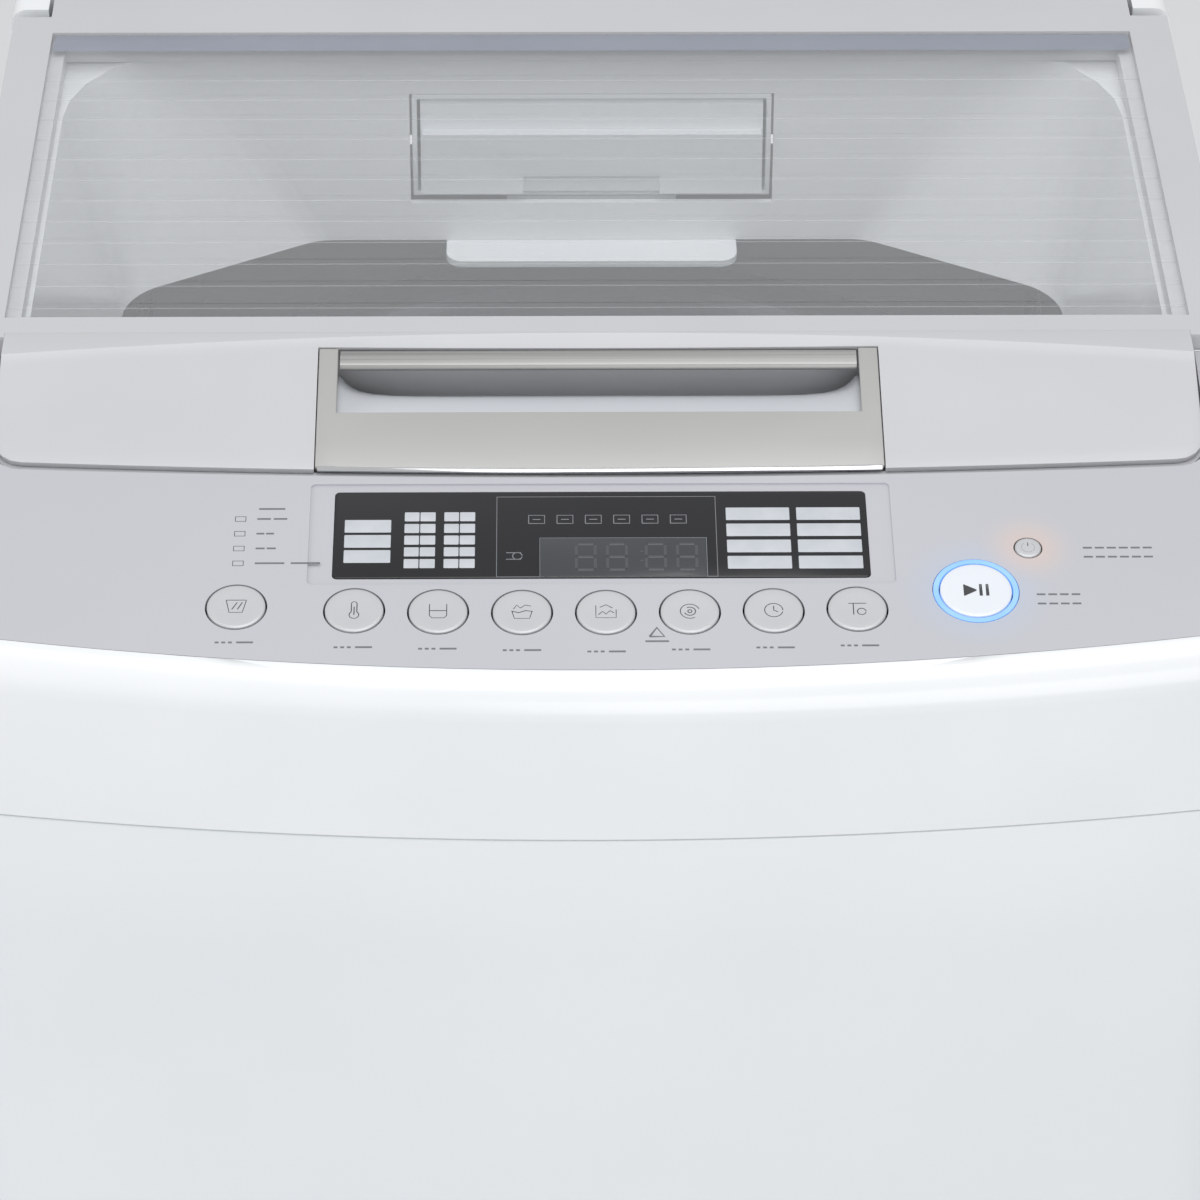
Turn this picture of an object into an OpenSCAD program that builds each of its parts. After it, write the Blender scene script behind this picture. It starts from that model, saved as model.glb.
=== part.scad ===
// Top load washing machine: cased body, hinged window lid, control panel, hung tub, drum and belt drive.
// Millimetres, +Z up, +Y to the rear. The origin is on the floor, at the middle of the footprint.

/* [Overall] */
// Width over the cabinet sides
body_w = 540; // [450:5:650]
// Depth from the front bulge to the rear face
body_d = 540; // [450:5:650]
// Height from the floor to the top of the closed lid
body_h = 905; // [760:5:1090]
// How far the front stands out at its middle
front_bulge = 22; // [10:1:30]
// Radius of the two front corners, seen from above
corner_r = 30; // [20:1:36]

/* [Casing] */
// Sheet steel thickness of cabinet and rear cover
sheet = 1; // [0.6:0.1:1.5]
// Moulded wall of base and top cover
wall = 3; // [2:0.25:4]
// Height of the base frame's underside above the floor
foot_h = 25; // [20:1:35]
// Height of the base frame
base_h = 60; // [50:1:72]
// Width of the base frame's channel
base_rim = 38; // [32:1:46]
// Radius of a foot pad
foot_r = 20; // [14:1:24]
// Radius of a foot's threaded stem
stem_r = 5; // [4:0.5:6]
// Distance that the rear cover sits in from the rear face
rear_recess = 5; // [4:0.5:8]
// Width of the cabinet's turned-in edges
flange = 16; // [12:1:20]

/* [Top cover] */
// Height of the top cover, from the seam with the cabinet to the lid's top
top_h = 112; // [100:1:130]
// Radius of the top cover's front edge
front_round = 14; // [8:1:20]
// Drop from the lid's top to the panel's front edge
panel_drop = 37; // [32:1:44]
// Slope of the control panel
panel_slope = 9.6; // [6:0.1:12]
// Depth of the control panel at its middle
panel_run = 106; // [98:1:127]
// White rim left and right of the panel
panel_rim = 8; // [5:0.5:12]
// Depth of the rear deck
deck_d = 50.5; // [45:0.5:70]
// Height of the mouth's lower edge below the lid's top
throat_drop = 105; // [95:1:110]

/* [Lid] */
// Thickness of the lid's frame
lid_t = 12; // [10:0.5:14]
// Fore and aft length of the sloped front section
tongue_run = 75; // [65:1:82]
// Width of the sloped front section
tongue_w = 494; // [410:1:504]
// Bulge of the lid's front edge
tongue_bulge = 6; // [3:0.5:9]
// Width of the clear window
window_w = 496; // [400:1:500]
// Thickness of the window
window_t = 3; // [2:0.25:4]
// Width of the handle's surround
bezel_w = 232; // [190:1:280]
// Width of the finger recess
grip_w = 216; // [180:1:222]
// Gap around the lid
lid_gap = 2; // [1.5:0.25:3]
// Radius of the hinge pins
pin_r = 3; // [2.5:0.25:4]

/* [Controls] */
// Radius of the eight round buttons
button_r = 12; // [9:0.5:13]
// Spacing of the seven buttons in the row
button_pitch = 33.1; // [28:0.1:36]
// Distance of the eighth button left of the middle
first_button_x = 144.4; // [128:0.1:150]
// Distance of the row from the panel's front edge, along the slope
button_v = 30.5; // [24:0.5:33]
// Radius of the start button
start_r = 14.5; // [11:0.5:16]
// Radius of the power button
power_r = 5.5; // [4.5:0.25:7]
// Width of the display window
display_w = 214; // [180:1:226]
// Depth of the display window, along the slope
display_l = 48; // [40:1:52]

/* [Dispenser] */
// Width of the detergent drawer's front
drawer_w = 160; // [130:1:190]
// Height of the detergent drawer's front
drawer_h = 44; // [36:1:48]

/* [Tub and drum] */
// Gap between the tub and the cabinet sides
tub_gap = 34; // [28:1:45]
// Height of the tub's floor above the ground
tub_z = 205; // [200:1:215]
// Tub wall thickness
tub_wall = 3; // [2:0.25:4]
// Radial gap between tub and drum
drum_gap = 18; // [14:1:24]
// Radial width of the balance ring
balancer_w = 28; // [20:1:34]
// Height of the balance ring
balancer_h = 66; // [45:1:80]
// Radius of the pulsator
pulsator_r = 165; // [130:1:170]
// Number of pulsator fins
fin_count = 6; // [4:1:8]

/* [Suspension] */
// Radius of a suspension rod
rod_r = 4; // [3:0.5:5]
// Height of the tub's lugs above the tub floor
lug_rise = 95; // [90:1:140]
// Outer radius of a spring's coil centreline
spring_r = 13; // [11:0.5:14]
// Spring wire radius
spring_wire = 1.6; // [1.2:0.1:2]

/* [Drive] */
// Radius of the hollow spin shaft
spin_shaft_r = 12.5; // [10:0.5:14]
// Radius of the wash shaft inside it
wash_shaft_r = 7; // [6:0.5:7.5]
// Belt's inner radius on the clutch pulley
clutch_pulley_r = 66.4; // [55:0.2:78]
// Belt's inner radius on the motor pulley
motor_pulley_r = 15; // [12:0.5:19]
// Distance between the two pulley axes
belt_centres = 165; // [150:1:175]
// Direction of the motor from the drum axis, from +X towards +Y
motor_angle = 25; // [15:1:35]
// Radius of the motor
motor_r = 60; // [50:1:64]

/* [Hidden] */
eps = 0.01;
$fn = 64;

// Casing heights
seam_z = body_h - top_h;
base_top = foot_h + base_h;
base_lip = 20;
cab_z0 = foot_h + base_lip + 0.05;
rear_y = body_d / 2;
cover_y = rear_y - rear_recess;
front_y = -body_d / 2;
front_R = (pow(body_w / 2, 2) + pow(front_bulge, 2)) / (2 * front_bulge);

// Feet
foot_x = body_w / 2 - 48;
foot_y = body_d / 2 - 52;
foot_xy = [[-foot_x, -foot_y], [foot_x, -foot_y], [-foot_x, foot_y], [foot_x, foot_y]];

// Top cover profile
panel_y0 = front_y + front_round;
panel_z0 = body_h - panel_drop;
panel_t = 3;
panel_gap = 0.3;
tongue_y0 = panel_y0 + panel_run;
lid_y0 = tongue_y0 + tongue_run;
cheek_y1 = lid_y0 - 5;
rail_z = body_h - lid_t - 1;
deck_y = rear_y - deck_d;
hinge_y = deck_y - lid_t - 3.5;
hinge_z = body_h - lid_t;
trough_y = hinge_y - 9.5;
trough_z = hinge_z - lid_t - 2;
ledge_z = panel_z(tongue_y0) - 17;
tongue_z = ledge_z + 3;
well_depth = 26;
mouth_x = body_w / 2 - 30;
mouth_y0 = tongue_y0 + 12;
mouth_y1 = hinge_y - 26;
throat_z = body_h - throat_drop;
throat_y1 = mouth_y1 - 17;
throat_x = mouth_x - 23;

// Lid
lid_w = body_w - 6;
lid_rear_w = lid_w - 34;
window_y0 = lid_y0 + 12;
window_y1 = mouth_y1 - 5;
tongue_slope = atan((body_h - panel_z(tongue_y0)) / tongue_run);
tongue_R = (pow(tongue_w / 2, 2) + pow(tongue_bulge, 2)) / (2 * tongue_bulge);
tongue_corner = 12;
bezel_y1 = lid_y0 - 9;
cup_y0 = bezel_y1 - 34;
cup_y1 = bezel_y1 - 1;
cup_z = tongue_z + 4;
skin = 3;
knuckle_r = 8.5;
knuckle_w = 22;
knuckle_x = lid_rear_w / 2 - knuckle_w;

// Dispenser
housing_wall = 2.5;
housing_y1 = rear_y - 30;
drawer_z0 = throat_z + 23;
drawer_z1 = drawer_z0 + drawer_h;
drawer_clear = 1.5;
housing_z1 = drawer_z1 + drawer_clear + housing_wall;
valve_z = body_h - 45;
valve_x = [-body_w / 2 + 90, -body_w / 2 + 150];
valve_thread_r = 13.2;
valve_thread_l = 14;
recess_y = rear_y - 22;
recess_x0 = valve_x[0] - 33;
recess_x1 = valve_x[1] + 33;
recess_half_h = 24;

// Tub and drum
tub_r = min(body_w, body_d) / 2 - tub_gap;
tub_top = seam_z - 58;
tub_in = tub_r - tub_wall;
drum_r = tub_in - drum_gap;
drum_z0 = tub_z + 35;
drum_top = tub_top - 45;
cover_rim_z = tub_top + 17;
throat_r = drum_r - balancer_w + 3;
hub_z = tub_z + 7;
base_disc_z = hub_z + 12;
base_disc_t = 22;
pulsator_z = base_disc_z + base_disc_t + 4;
pulsator_rim = 10;
fin_h = 30;
shaft_top = pulsator_z + 24;

// Suspension
rod_x = body_w / 2 - 52;
rod_y = body_d / 2 - 60;
rod_xy = [[-rod_x, -rod_y], [rod_x, -rod_y], [-rod_x, rod_y], [rod_x, rod_y]];
lug_z = tub_z + lug_rise;
lug_t = 20;
cup_r = 22;
cup_in = spring_r + spring_wire + 4.2;
cup_h = 95;
disc_z = lug_z - 78;
disc_t = 10;
spring_z0 = disc_z + disc_t + spring_wire + 0.1;
spring_z1 = lug_z - 4 - spring_wire - 0.1;
spring_turns = 5;
bracket_z = seam_z - 33;
ball_r = 9;
ball_z = bracket_z + 19;

// Drive
plate_t = 4;
rib_h = 15;
plate_z1 = tub_z - rib_h;
plate_z0 = plate_z1 - plate_t;
running = 0.05;
seal_r = 30;
bearing_r = 23.5;
bearing_w = 12;
housing_r = 55;
clutch_z0 = plate_z0 - 64;
pulley_h = 20;
pulley_z = clutch_z0 - 34;
belt_w = 10;
belt_t = 8;
belt_slack = 0.4;
motor_xy = belt_centres * [cos(motor_angle), sin(motor_angle)];
motor_top = plate_z0 - 6;
motor_h = 68;
rotor_gap = 0.5;
rotor_r = motor_r - 24;
motor_shaft_r = 6;

// Drain
drain_x = -body_w / 2 + 125;
drain_y = 100;
drain_z = plate_z0 - 20;
drain_r = 20;
drain_in = 16;
outlet_r = 16;
outlet_z = drain_z - 50;
spigot_r = 15;
spigot_z = foot_h + 32;
elbow_z = spigot_z + 30;
drop_x = drain_x - 32;
clip = 8;

function panel_z(y) = panel_z0 + (y - panel_y0) * tan(panel_slope);
function tongue_top(y) = panel_z(tongue_y0) + (y - tongue_y0) * tan(tongue_slope);
function wall_y(z) = throat_y1 + (z - throat_z) * (mouth_y1 - throat_y1) / (rail_z - throat_z);

// Points of an arc about c, from angle a to angle b in degrees.
function arc(c, r, a, b, n) = [for (i = [0:n]) c + r * [cos(a + (b - a) * i / n), sin(a + (b - a) * i / n)]];

// A closed outline with a bulged front edge, rounded front corners and lightly rounded rear corners.
function bowed(half_w, y0, R, rc, y1, rr) =
  let (cx = half_w - rc, cy = y0 + R - sqrt(pow(R - rc, 2) - cx * cx), lean = asin(cx / (R - rc)))
  concat(
    arc([0, y0 + R], R, -90 - lean, -90 + lean, 24),
    arc([cx, cy], rc, -90 + lean, 0, 8),
    arc([half_w - rr, y1 - rr], rr, 0, 90, 4),
    arc([rr - half_w, y1 - rr], rr, 90, 180, 4),
    arc([-cx, cy], rc, 180, 270 - lean, 8));

module body_shape(inset = 0, rear_inset = 0) {
  polygon(bowed(body_w / 2 - inset, front_y + inset, front_R - inset, max(corner_r - inset, 4),
                rear_y - max(inset, rear_inset), max(6 - inset, 1)));
}

module panel_shape(grow = 0) {
  y1 = cheek_y1 + grow;
  polygon(bowed(body_w / 2 - panel_rim + grow, panel_y0 - grow, front_R - front_round + grow,
                corner_r + grow, y1, 1 + grow));
}

module tongue_shape(grow = 0, y1 = lid_y0) {
  polygon(bowed(tongue_w / 2 + grow, tongue_y0 - grow, tongue_R + grow, tongue_corner + grow, y1, 0.5));
}

module round_rect(w, h, r) {
  polygon(concat(arc([w / 2 - r, h / 2 - r], r, 0, 90, 6), arc([r - w / 2, h / 2 - r], r, 90, 180, 6),
                 arc([r - w / 2, r - h / 2], r, 180, 270, 6), arc([w / 2 - r, r - h / 2], r, 270, 360, 6)));
}

// Extrudes a YZ outline along X, centred on X = 0.
module across(w) {
  translate([-w / 2, 0, 0]) rotate([90, 0, 90]) linear_extrude(w) children();
}

module prism(z0, z1) {
  translate([0, 0, z0]) linear_extrude(z1 - z0) children();
}

// Puts a child on the panel's surface: u to the right of the middle, v up the slope from the front edge.
module on_panel(u, v, w = 0) {
  translate([u, panel_y0, panel_z0]) rotate([panel_slope, 0, 0]) translate([0, v, w]) children();
}

module box(x0, x1, y0, y1, z0, z1) {
  translate([x0, y0, z0]) cube([x1 - x0, y1 - y0, z1 - z0]);
}

module tube(r_out, r_in, h) {
  difference() {
    cylinder(r = r_out, h = h);
    translate([0, 0, -1]) cylinder(r = r_in, h = h + 2);
  }
}

// ---- Casing ----

// Folded steel wrap: bowed front, two sides, turned-in edges at the top and along the open back.
module cabinet() {
  color("white") difference() {
    prism(cab_z0, seam_z - 0.05) body_shape(0, rear_recess + sheet);
    prism(cab_z0 - 1, seam_z - 0.05 - sheet) body_shape(sheet, rear_recess + 2 * sheet);
    prism(seam_z - 2 - sheet, seam_z) difference() {
      body_shape(flange, rear_recess + sheet - 10);
    }
    box(-body_w / 2 + flange, body_w / 2 - flange, cover_y - 20, rear_y + 1, cab_z0 - 1, seam_z);
  }
}

// Pressed steel panel with two stiffening swages, screwed to the cabinet's rear edges.
module rear_cover() {
  w = body_w - 14;
  swage_w = w * 0.3;
  z0 = cab_z0 + 2;
  z1 = seam_z - 4;
  color("gainsboro") difference() {
    union() {
      box(-w / 2, w / 2, cover_y - sheet, cover_y, z0, z1);
      for (s = [-1, 1]) translate([s * w * 0.22, 0, 0])
        box(-swage_w / 2, swage_w / 2, cover_y - sheet - 4, cover_y - sheet + eps, z0 + 90, z1 - 90);
    }
    for (s = [-1, 1]) translate([s * w * 0.22, 0, 0])
      box(-swage_w / 2 + sheet, swage_w / 2 - sheet, cover_y - 4, cover_y + 1, z0 + 90 + sheet, z1 - 90 - sheet);
    for (p = screw_xz()) translate([p[0], cover_y + 1, p[1]]) rotate([90, 0, 0]) cylinder(r = 2.2, h = 6);
    translate([gland_x(), cover_y + 1, gland_z()]) rotate([90, 0, 0]) cylinder(r = 9, h = 6);
    box(drop_x - 24, drop_x + 24, cover_y - 6, cover_y + 1, 0, spigot_z + 24);
  }
}

function screw_xz() = [for (s = [-1, 1], k = [0:3])
  [s * (body_w / 2 - 11.5), cab_z0 + 24 + k * (seam_z - cab_z0 - 50) / 3]];
function gland_x() = body_w / 2 - 75;
function gland_z() = seam_z - 60;

module rear_cover_screws() {
  color("silver") for (p = screw_xz()) translate([p[0], cover_y, p[1]]) rotate([-90, 0, 0]) {
    translate([0, 0, 0.05]) cylinder(r1 = 4.5, r2 = 3, h = 2);
    translate([0, 0, -sheet + 0.05]) cylinder(r = 2, h = sheet + 0.5);
  }
}

// Moulded channel all round the bottom, with a boss at each foot and a notch for the drain outlet.
module base_frame() {
  color("lightgray") difference() {
    union() {
      difference() {
        union() {
          prism(foot_h, foot_h + base_lip) body_shape(0.5);
          prism(foot_h, base_top) body_shape(sheet + 0.5, rear_recess + 3 * sheet);
        }
        prism(foot_h + wall, base_top + 1) difference() {
          body_shape(sheet + 0.5 + wall, rear_recess + 3 * sheet + wall);
          body_shape(base_rim - wall);
        }
        prism(foot_h - 1, base_top + 1) body_shape(base_rim);
      }
      for (p = foot_xy) translate([p[0], p[1], foot_h]) cylinder(r = 15, h = base_h - 10);
      for (s = [-1, 1]) translate([drop_x + s * 29, 0, 0])
        box(-1.5, 1.5, rear_y - base_rim + 1, cover_y - 4, foot_h, base_top);
    }
    for (p = foot_xy) translate([p[0], p[1], foot_h - 1]) cylinder(r = stem_r, h = base_h + 2);
    box(drop_x - 27.5, drop_x + 27.5, rear_y - base_rim - 20, rear_y + 1, foot_h + 6, base_top + 1);
  }
}

// Adjustable foot: ribbed pad and threaded stem, turned to level the machine.
module foot(i) {
  color("dimgray") translate([foot_xy[i][0], foot_xy[i][1], 0]) {
    cylinder(r1 = foot_r, r2 = foot_r - 3, h = 8);
    translate([0, 0, 8 - eps]) cylinder(r = 12, h = 5, $fn = 6);
    cylinder(r = stem_r - running, h = foot_h + base_h - 14);
  }
}

module foot_lock_nuts() {
  color("silver") for (p = foot_xy) translate([p[0], p[1], foot_h - 6]) difference() {
    cylinder(r = 9, h = 5.8, $fn = 6);
    translate([0, 0, -1]) cylinder(r = stem_r, h = 9);
  }
}

// ---- Top cover ----

// One block of the top cover between two depths, its outer top edge rounded by hulled layers.
module rounded_block(y0, y1, z0, z1, r_front, r_side, steps) {
  hull() for (k = [0:steps]) {
    a = 90 * k / steps;
    inset = r_front * (1 - cos(a));
    drop = r_front * (1 - sin(a));
    half = body_w / 2 - inset * r_side / r_front;
    intersection() {
      prism(seam_z, body_h + 1) scale([half / (body_w / 2 - inset), 1]) body_shape(inset);
      across(body_w + 2) polygon([[y0, seam_z], [y0, z0 - drop], [y1, z1 - drop], [y1, seam_z]]);
    }
  }
}

module hollow_profile() {
  polygon([
    [front_y - 1, seam_z - 1], [front_y - 1, panel_z(front_y) - well_depth - 2 * wall],
    [tongue_y0 - 5, panel_z(tongue_y0 - 5) - well_depth - 2 * wall], [tongue_y0 - 5, ledge_z - wall],
    [cheek_y1, ledge_z - wall], [cheek_y1, rail_z - wall], [trough_y - wall, rail_z - wall],
    [trough_y - wall, trough_z - wall], [deck_y + wall, trough_z - wall], [deck_y + wall, body_h - wall],
    [rear_y + 1, body_h - wall], [rear_y + 1, seam_z - 1]]);
}

// The opening tapers from the mouth under the lid to the throat above the tub.
module mouth_plan(grow) {
  offset(r = grow) translate([0, (mouth_y0 + mouth_y1) / 2])
    round_rect(2 * mouth_x, mouth_y1 - mouth_y0, 60);
}

module throat_plan(grow) {
  r = 30;
  cut = 66;
  offset(r = grow + r) polygon([
    [r - throat_x, mouth_y0 + 70], [r - throat_x, throat_y1 - cut], [r - throat_x + cut, throat_y1 - r],
    [throat_x - r - cut, throat_y1 - r], [throat_x - r, throat_y1 - cut], [throat_x - r, mouth_y0 + 70],
    [throat_x - cut, mouth_y0 + r], [cut - throat_x, mouth_y0 + r]]);
}

module basin(grow, over, under) {
  hull() {
    prism(rail_z, rail_z + over) mouth_plan(grow);
    prism(throat_z - under, throat_z) throat_plan(grow);
  }
}

module top_cover() {
  color("white") difference() {
    union() {
      difference() {
        union() {
          rounded_block(front_y - 1, cheek_y1 + 1, panel_z(front_y - 1), panel_z(cheek_y1 + 1), front_round,
                        panel_rim, 6);
          rounded_block(cheek_y1, trough_y + 1, rail_z, rail_z, 2, 2, 2);
          rounded_block(trough_y, rear_y + 1, body_h, body_h, 8, 8, 5);
        }
        difference() {
          intersection() {
            prism(seam_z - 1, body_h) body_shape(wall);
            across(body_w) hollow_profile();
          }
          box(recess_x0 - wall, recess_x1 + wall, recess_y - wall, rear_y, valve_z - recess_half_h - wall,
              valve_z + recess_half_h + wall);
        }
      }
      basin(wall, 0.5, 0.5);
    }
    basin(0, 12, 1);
    // Seat and well of the control panel
    difference() {
      intersection() {
        prism(seam_z, body_h + 20) panel_shape(panel_gap);
        across(body_w) seat_profile(panel_t, 20);
      }
      prism(seam_z, ledge_z) tongue_shape(lid_gap + 20, rear_y);
    }
    intersection() {
      prism(seam_z, body_h) difference() {
        offset(delta = -8) panel_shape();
        tongue_shape(lid_gap + 8, rear_y);
      }
      across(body_w - 60) seat_profile(panel_t + well_depth, 0);
    }
    // Pocket for the lid's front section, and trough for its hinge edge
    prism(ledge_z, body_h + 1) tongue_shape(lid_gap, lid_y0 + 5);
    box(-lid_rear_w / 2 - lid_gap, lid_rear_w / 2 + lid_gap, trough_y, deck_y, trough_z, body_h + 1);
    // Dispenser opening and valve recess
    box(-drawer_w / 2 - 5, drawer_w / 2 + 5, throat_y1 - 30, housing_y1 + 1, drawer_z0 - 5, housing_z1 + 0.5);
    box(recess_x0, recess_x1, recess_y, rear_y + 1, valve_z - recess_half_h, valve_z + recess_half_h);
    for (x = valve_x) translate([x, recess_y + 1, valve_z]) rotate([90, 0, 0]) cylinder(r = 11, h = 6);
    for (s = [-1, 1]) translate([s * (lid_rear_w / 2 - 1), hinge_y, hinge_z]) rotate([0, s * 90, 0])
      cylinder(r = pin_r, h = 14);
  }
}

// The layer between depth and height below and above the panel's top surface.
module seat_profile(depth, above) {
  polygon([
    [front_y, panel_z(front_y) - depth], [front_y, panel_z(front_y) + above],
    [cheek_y1 + 1, panel_z(cheek_y1 + 1) + above], [cheek_y1 + 1, panel_z(cheek_y1 + 1) - depth]]);
}

// Steel gusset in each top corner of the cabinet, carrying one suspension rod.
module corner_brackets() {
  color("silver") for (p = rod_xy) difference() {
    intersection() {
      translate([p[0], p[1], bracket_z]) translate([-30, -34, 0]) cube([100, 68, 2.5]);
      prism(bracket_z - 1, bracket_z + 4) difference() {
        body_shape(sheet + 0.2, rear_recess + 2 * sheet + 0.2);
        square([2 * rod_x - 60, 2 * body_d], center = true);
      }
      translate([p[0] - sign(p[0]) * 15, p[1], bracket_z]) cube([130, 68, 10], center = true);
    }
    translate([p[0], p[1], bracket_z - 1]) cylinder(r = 12.5, h = 5);
  }
}

// ---- Controls ----

function button_uv() = concat([[-first_button_x, button_v + 3.5]],
  [for (k = [-3:3]) [1.5 + k * button_pitch, button_v + 0.15 * k * k]]);
start_uv = [148.3, 41.5];
power_uv = [170.7, 65];
display_v = 50;
recess_pad = 10;

module control_panel() {
  color("lightgray") difference() {
    intersection() {
      prism(seam_z, body_h) difference() {
        panel_shape();
        tongue_shape(lid_gap, rear_y);
      }
      across(body_w) seat_profile(panel_t, 0);
    }
    for (p = button_uv()) on_panel(p[0], p[1], -6) cylinder(r = button_r + 0.3, h = 10);
    on_panel(start_uv[0], start_uv[1], -6) cylinder(r = start_r + 2.8, h = 10);
    on_panel(power_uv[0], power_uv[1], -6) cylinder(r = power_r + 0.3, h = 10);
    // Shallow recess, then the opening that takes the display window
    on_panel(0, display_v + display_l / 2, -1) linear_extrude(5)
      round_rect(display_w + 2 * recess_pad, display_l + 8, 2);
    on_panel(0, display_v + display_l / 2, -6) linear_extrude(10)
      round_rect(display_w + 0.4, display_l + 0.4, 2);
  }
}

module display_window() {
  color("black") on_panel(0, display_v + display_l / 2, -2.8) linear_extrude(2.2)
    round_rect(display_w, display_l, 1.8);
}

// Circuit board with a digit module under the window and one key switch under every button.
module control_board() {
  color("darkgreen") {
    on_panel(0, button_v - 10, -16) linear_extrude(1.6) polygon([
      [-first_button_x - 14, 0], [power_uv[0] + 10, 0], [power_uv[0] + 10, power_uv[1] - button_v + 18],
      [display_w / 2 - 4, display_v + display_l - button_v + 6],
      [4 - display_w / 2, display_v + display_l - button_v + 6], [-first_button_x - 14, 27]]);
    for (p = concat(button_uv(), [start_uv, power_uv])) on_panel(p[0], p[1], -15) cylinder(r = 3, h = 5.5);
    on_panel(9, display_v + display_l / 2 - 4, -15) translate([-33, -12, 0]) cube([66, 24, 11.5]);
  }
}

module round_button(p, r, proud = 0.6) {
  on_panel(p[0], p[1], -5) {
    cylinder(r = r, h = 5 + proud - 1);
    translate([0, 0, 4 + proud - eps]) cylinder(r1 = r, r2 = r - 1, h = 1);
    translate([0, 0, -1.8]) cylinder(r = r * 0.4, h = 2);
  }
}

module panel_button(k) { color("lightgray") round_button(button_uv()[k], button_r); }
module button_start() { color("white") round_button(start_uv, start_r); }
module button_power() { color("lightgray") round_button(power_uv, power_r); }

module start_light_ring() {
  color("skyblue") on_panel(start_uv[0], start_uv[1], -4) tube(start_r + 2.5, start_r + 0.3, 4.3);
}

// ---- Lid ----

module lid_profile() {
  polygon(concat(
    [[cheek_y1 + 2, hinge_z], [cheek_y1 + 2, body_h]],
    arc([hinge_y, hinge_z], lid_t, 90, 0, 8)));
}

module tongue_profile(top_cut, z0) {
  polygon([
    [tongue_y0 - 8, z0], [tongue_y0 - 8, tongue_top(tongue_y0 - 8) - top_cut],
    [lid_y0 + 2, tongue_top(lid_y0 + 2) - top_cut], [lid_y0 + 2, z0]]);
}

// Frame with a window opening, a hollow underside, a tray under the sloped front and two hinge knuckles.
module lid_frame() {
  rim = 3;
  color("gainsboro") difference() {
    union() {
      difference() {
        intersection() {
          prism(hinge_z, body_h + 1) union() {
            translate([-lid_w / 2, lid_y0 + 0.1]) square([lid_w, hinge_y - lid_t - 4.5 - lid_y0]);
            translate([-lid_rear_w / 2, lid_y0 + 0.1]) square([lid_rear_w, hinge_y + lid_t - lid_y0]);
            for (s = [-1, 1]) translate([s > 0 ? tongue_w / 2 + 0.1 : -lid_w / 2, cheek_y1 + 2])
              square([(lid_w - tongue_w) / 2 - 0.1, 20]);
          }
          across(body_w) lid_profile();
        }
        difference() {
          box(-lid_w / 2 + rim, lid_w / 2 - rim, lid_y0 + rim, hinge_y - lid_t - 4.5 - rim, hinge_z - 1, body_h - 3);
          box(-window_w / 2 - rim - 0.2, window_w / 2 + rim + 0.2, window_y0 - rim - 0.2, window_y1 + rim + 0.2,
              hinge_z - 2, body_h);
        }
      }
      difference() {
        intersection() {
          prism(tongue_z, body_h) tongue_shape(0, lid_y0 + 2);
          across(tongue_w + 10) tongue_profile(skin + 0.2, tongue_z);
        }
        intersection() {
          prism(tongue_z + skin, body_h) offset(delta = -skin) tongue_shape();
          across(tongue_w) tongue_profile(-5, tongue_z + skin);
        }
      }
      for (s = [-1, 1]) translate([s * (knuckle_x + knuckle_w / 2), hinge_y, hinge_z]) rotate([0, 90, 0])
        cylinder(r = knuckle_r, h = knuckle_w, center = true);
    }
    box(-window_w / 2 - 0.2, window_w / 2 + 0.2, window_y0 - 0.2, window_y1 + 0.2, body_h - window_t - 1, body_h + 1);
    box(-window_w / 2 + 6, window_w / 2 - 6, window_y0 + 6, window_y1 - 6, hinge_z - 1, body_h + 1);
    for (s = [-1, 1]) translate([s * (knuckle_x + knuckle_w / 2), hinge_y, hinge_z]) rotate([0, 90, 0])
      cylinder(r = pin_r + 0.05, h = knuckle_w + 30, center = true);
  }
}

module lid_window() {
  color("aliceblue", 0.4)
    box(-window_w / 2, window_w / 2, window_y0, window_y1, body_h - window_t - 1, body_h - 1);
}

// Sloped cover over the lid's front section, open in the middle for the handle.
module lid_front_cover() {
  color("lightgray") difference() {
    intersection() {
      prism(tongue_z, body_h + 1) tongue_shape();
      across(tongue_w + 10) tongue_profile(0, tongue_z);
    }
    across(tongue_w + 20) tongue_profile(skin, 0);
    box(-bezel_w / 2 - 0.2, bezel_w / 2 + 0.2, tongue_y0 - 20, bezel_y1 + 0.2, tongue_z, body_h + 1);
  }
}

// Satin surround of the finger recess.
module handle_bezel() {
  color("silver") difference() {
    intersection() {
      prism(tongue_z, body_h + 1) intersection() {
        tongue_shape(0.4);
        translate([-bezel_w / 2, tongue_y0 - 20]) square([bezel_w, bezel_y1 - tongue_y0 + 20]);
      }
      across(tongue_w + 10) tongue_profile(-0.5, tongue_z);
    }
    across(tongue_w + 20) tongue_profile(skin, 0);
    box(-grip_w / 2, grip_w / 2, cup_y0, cup_y1 + 0.5, tongue_z, body_h + 1);
  }
}

// Finger recess: a tray that hangs under the bezel.
module handle_cup() {
  color("lightsteelblue") difference() {
    box(-grip_w / 2 - 3, grip_w / 2 + 3, cup_y0 - 2, cup_y1 + 5, cup_z,
        tongue_top(cup_y0 - 2) - skin - 0.1);
    box(-grip_w / 2, grip_w / 2, cup_y0, cup_y1 + 2, cup_z + 2, body_h);
  }
}

// Grip bar that overhangs the rear of the recess.
module handle_grip() {
  color("darkgray") across(grip_w - 1) polygon([
    [cup_y1 - 7.5, tongue_top(cup_y1 - 7.5) - 1], [cup_y1 + 0.2, tongue_top(cup_y1) - 0.2],
    [cup_y1 + 0.2, tongue_top(cup_y1) - 8], [cup_y1 - 7.5, tongue_top(cup_y1 - 7.5) - 4]]);
}

module hinge_pins() {
  color("silver") for (s = [-1, 1]) translate([s * (knuckle_x - 1), hinge_y, hinge_z]) rotate([0, s * 90, 0])
    cylinder(r = pin_r - 0.02, h = knuckle_w + 12);
}

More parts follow.
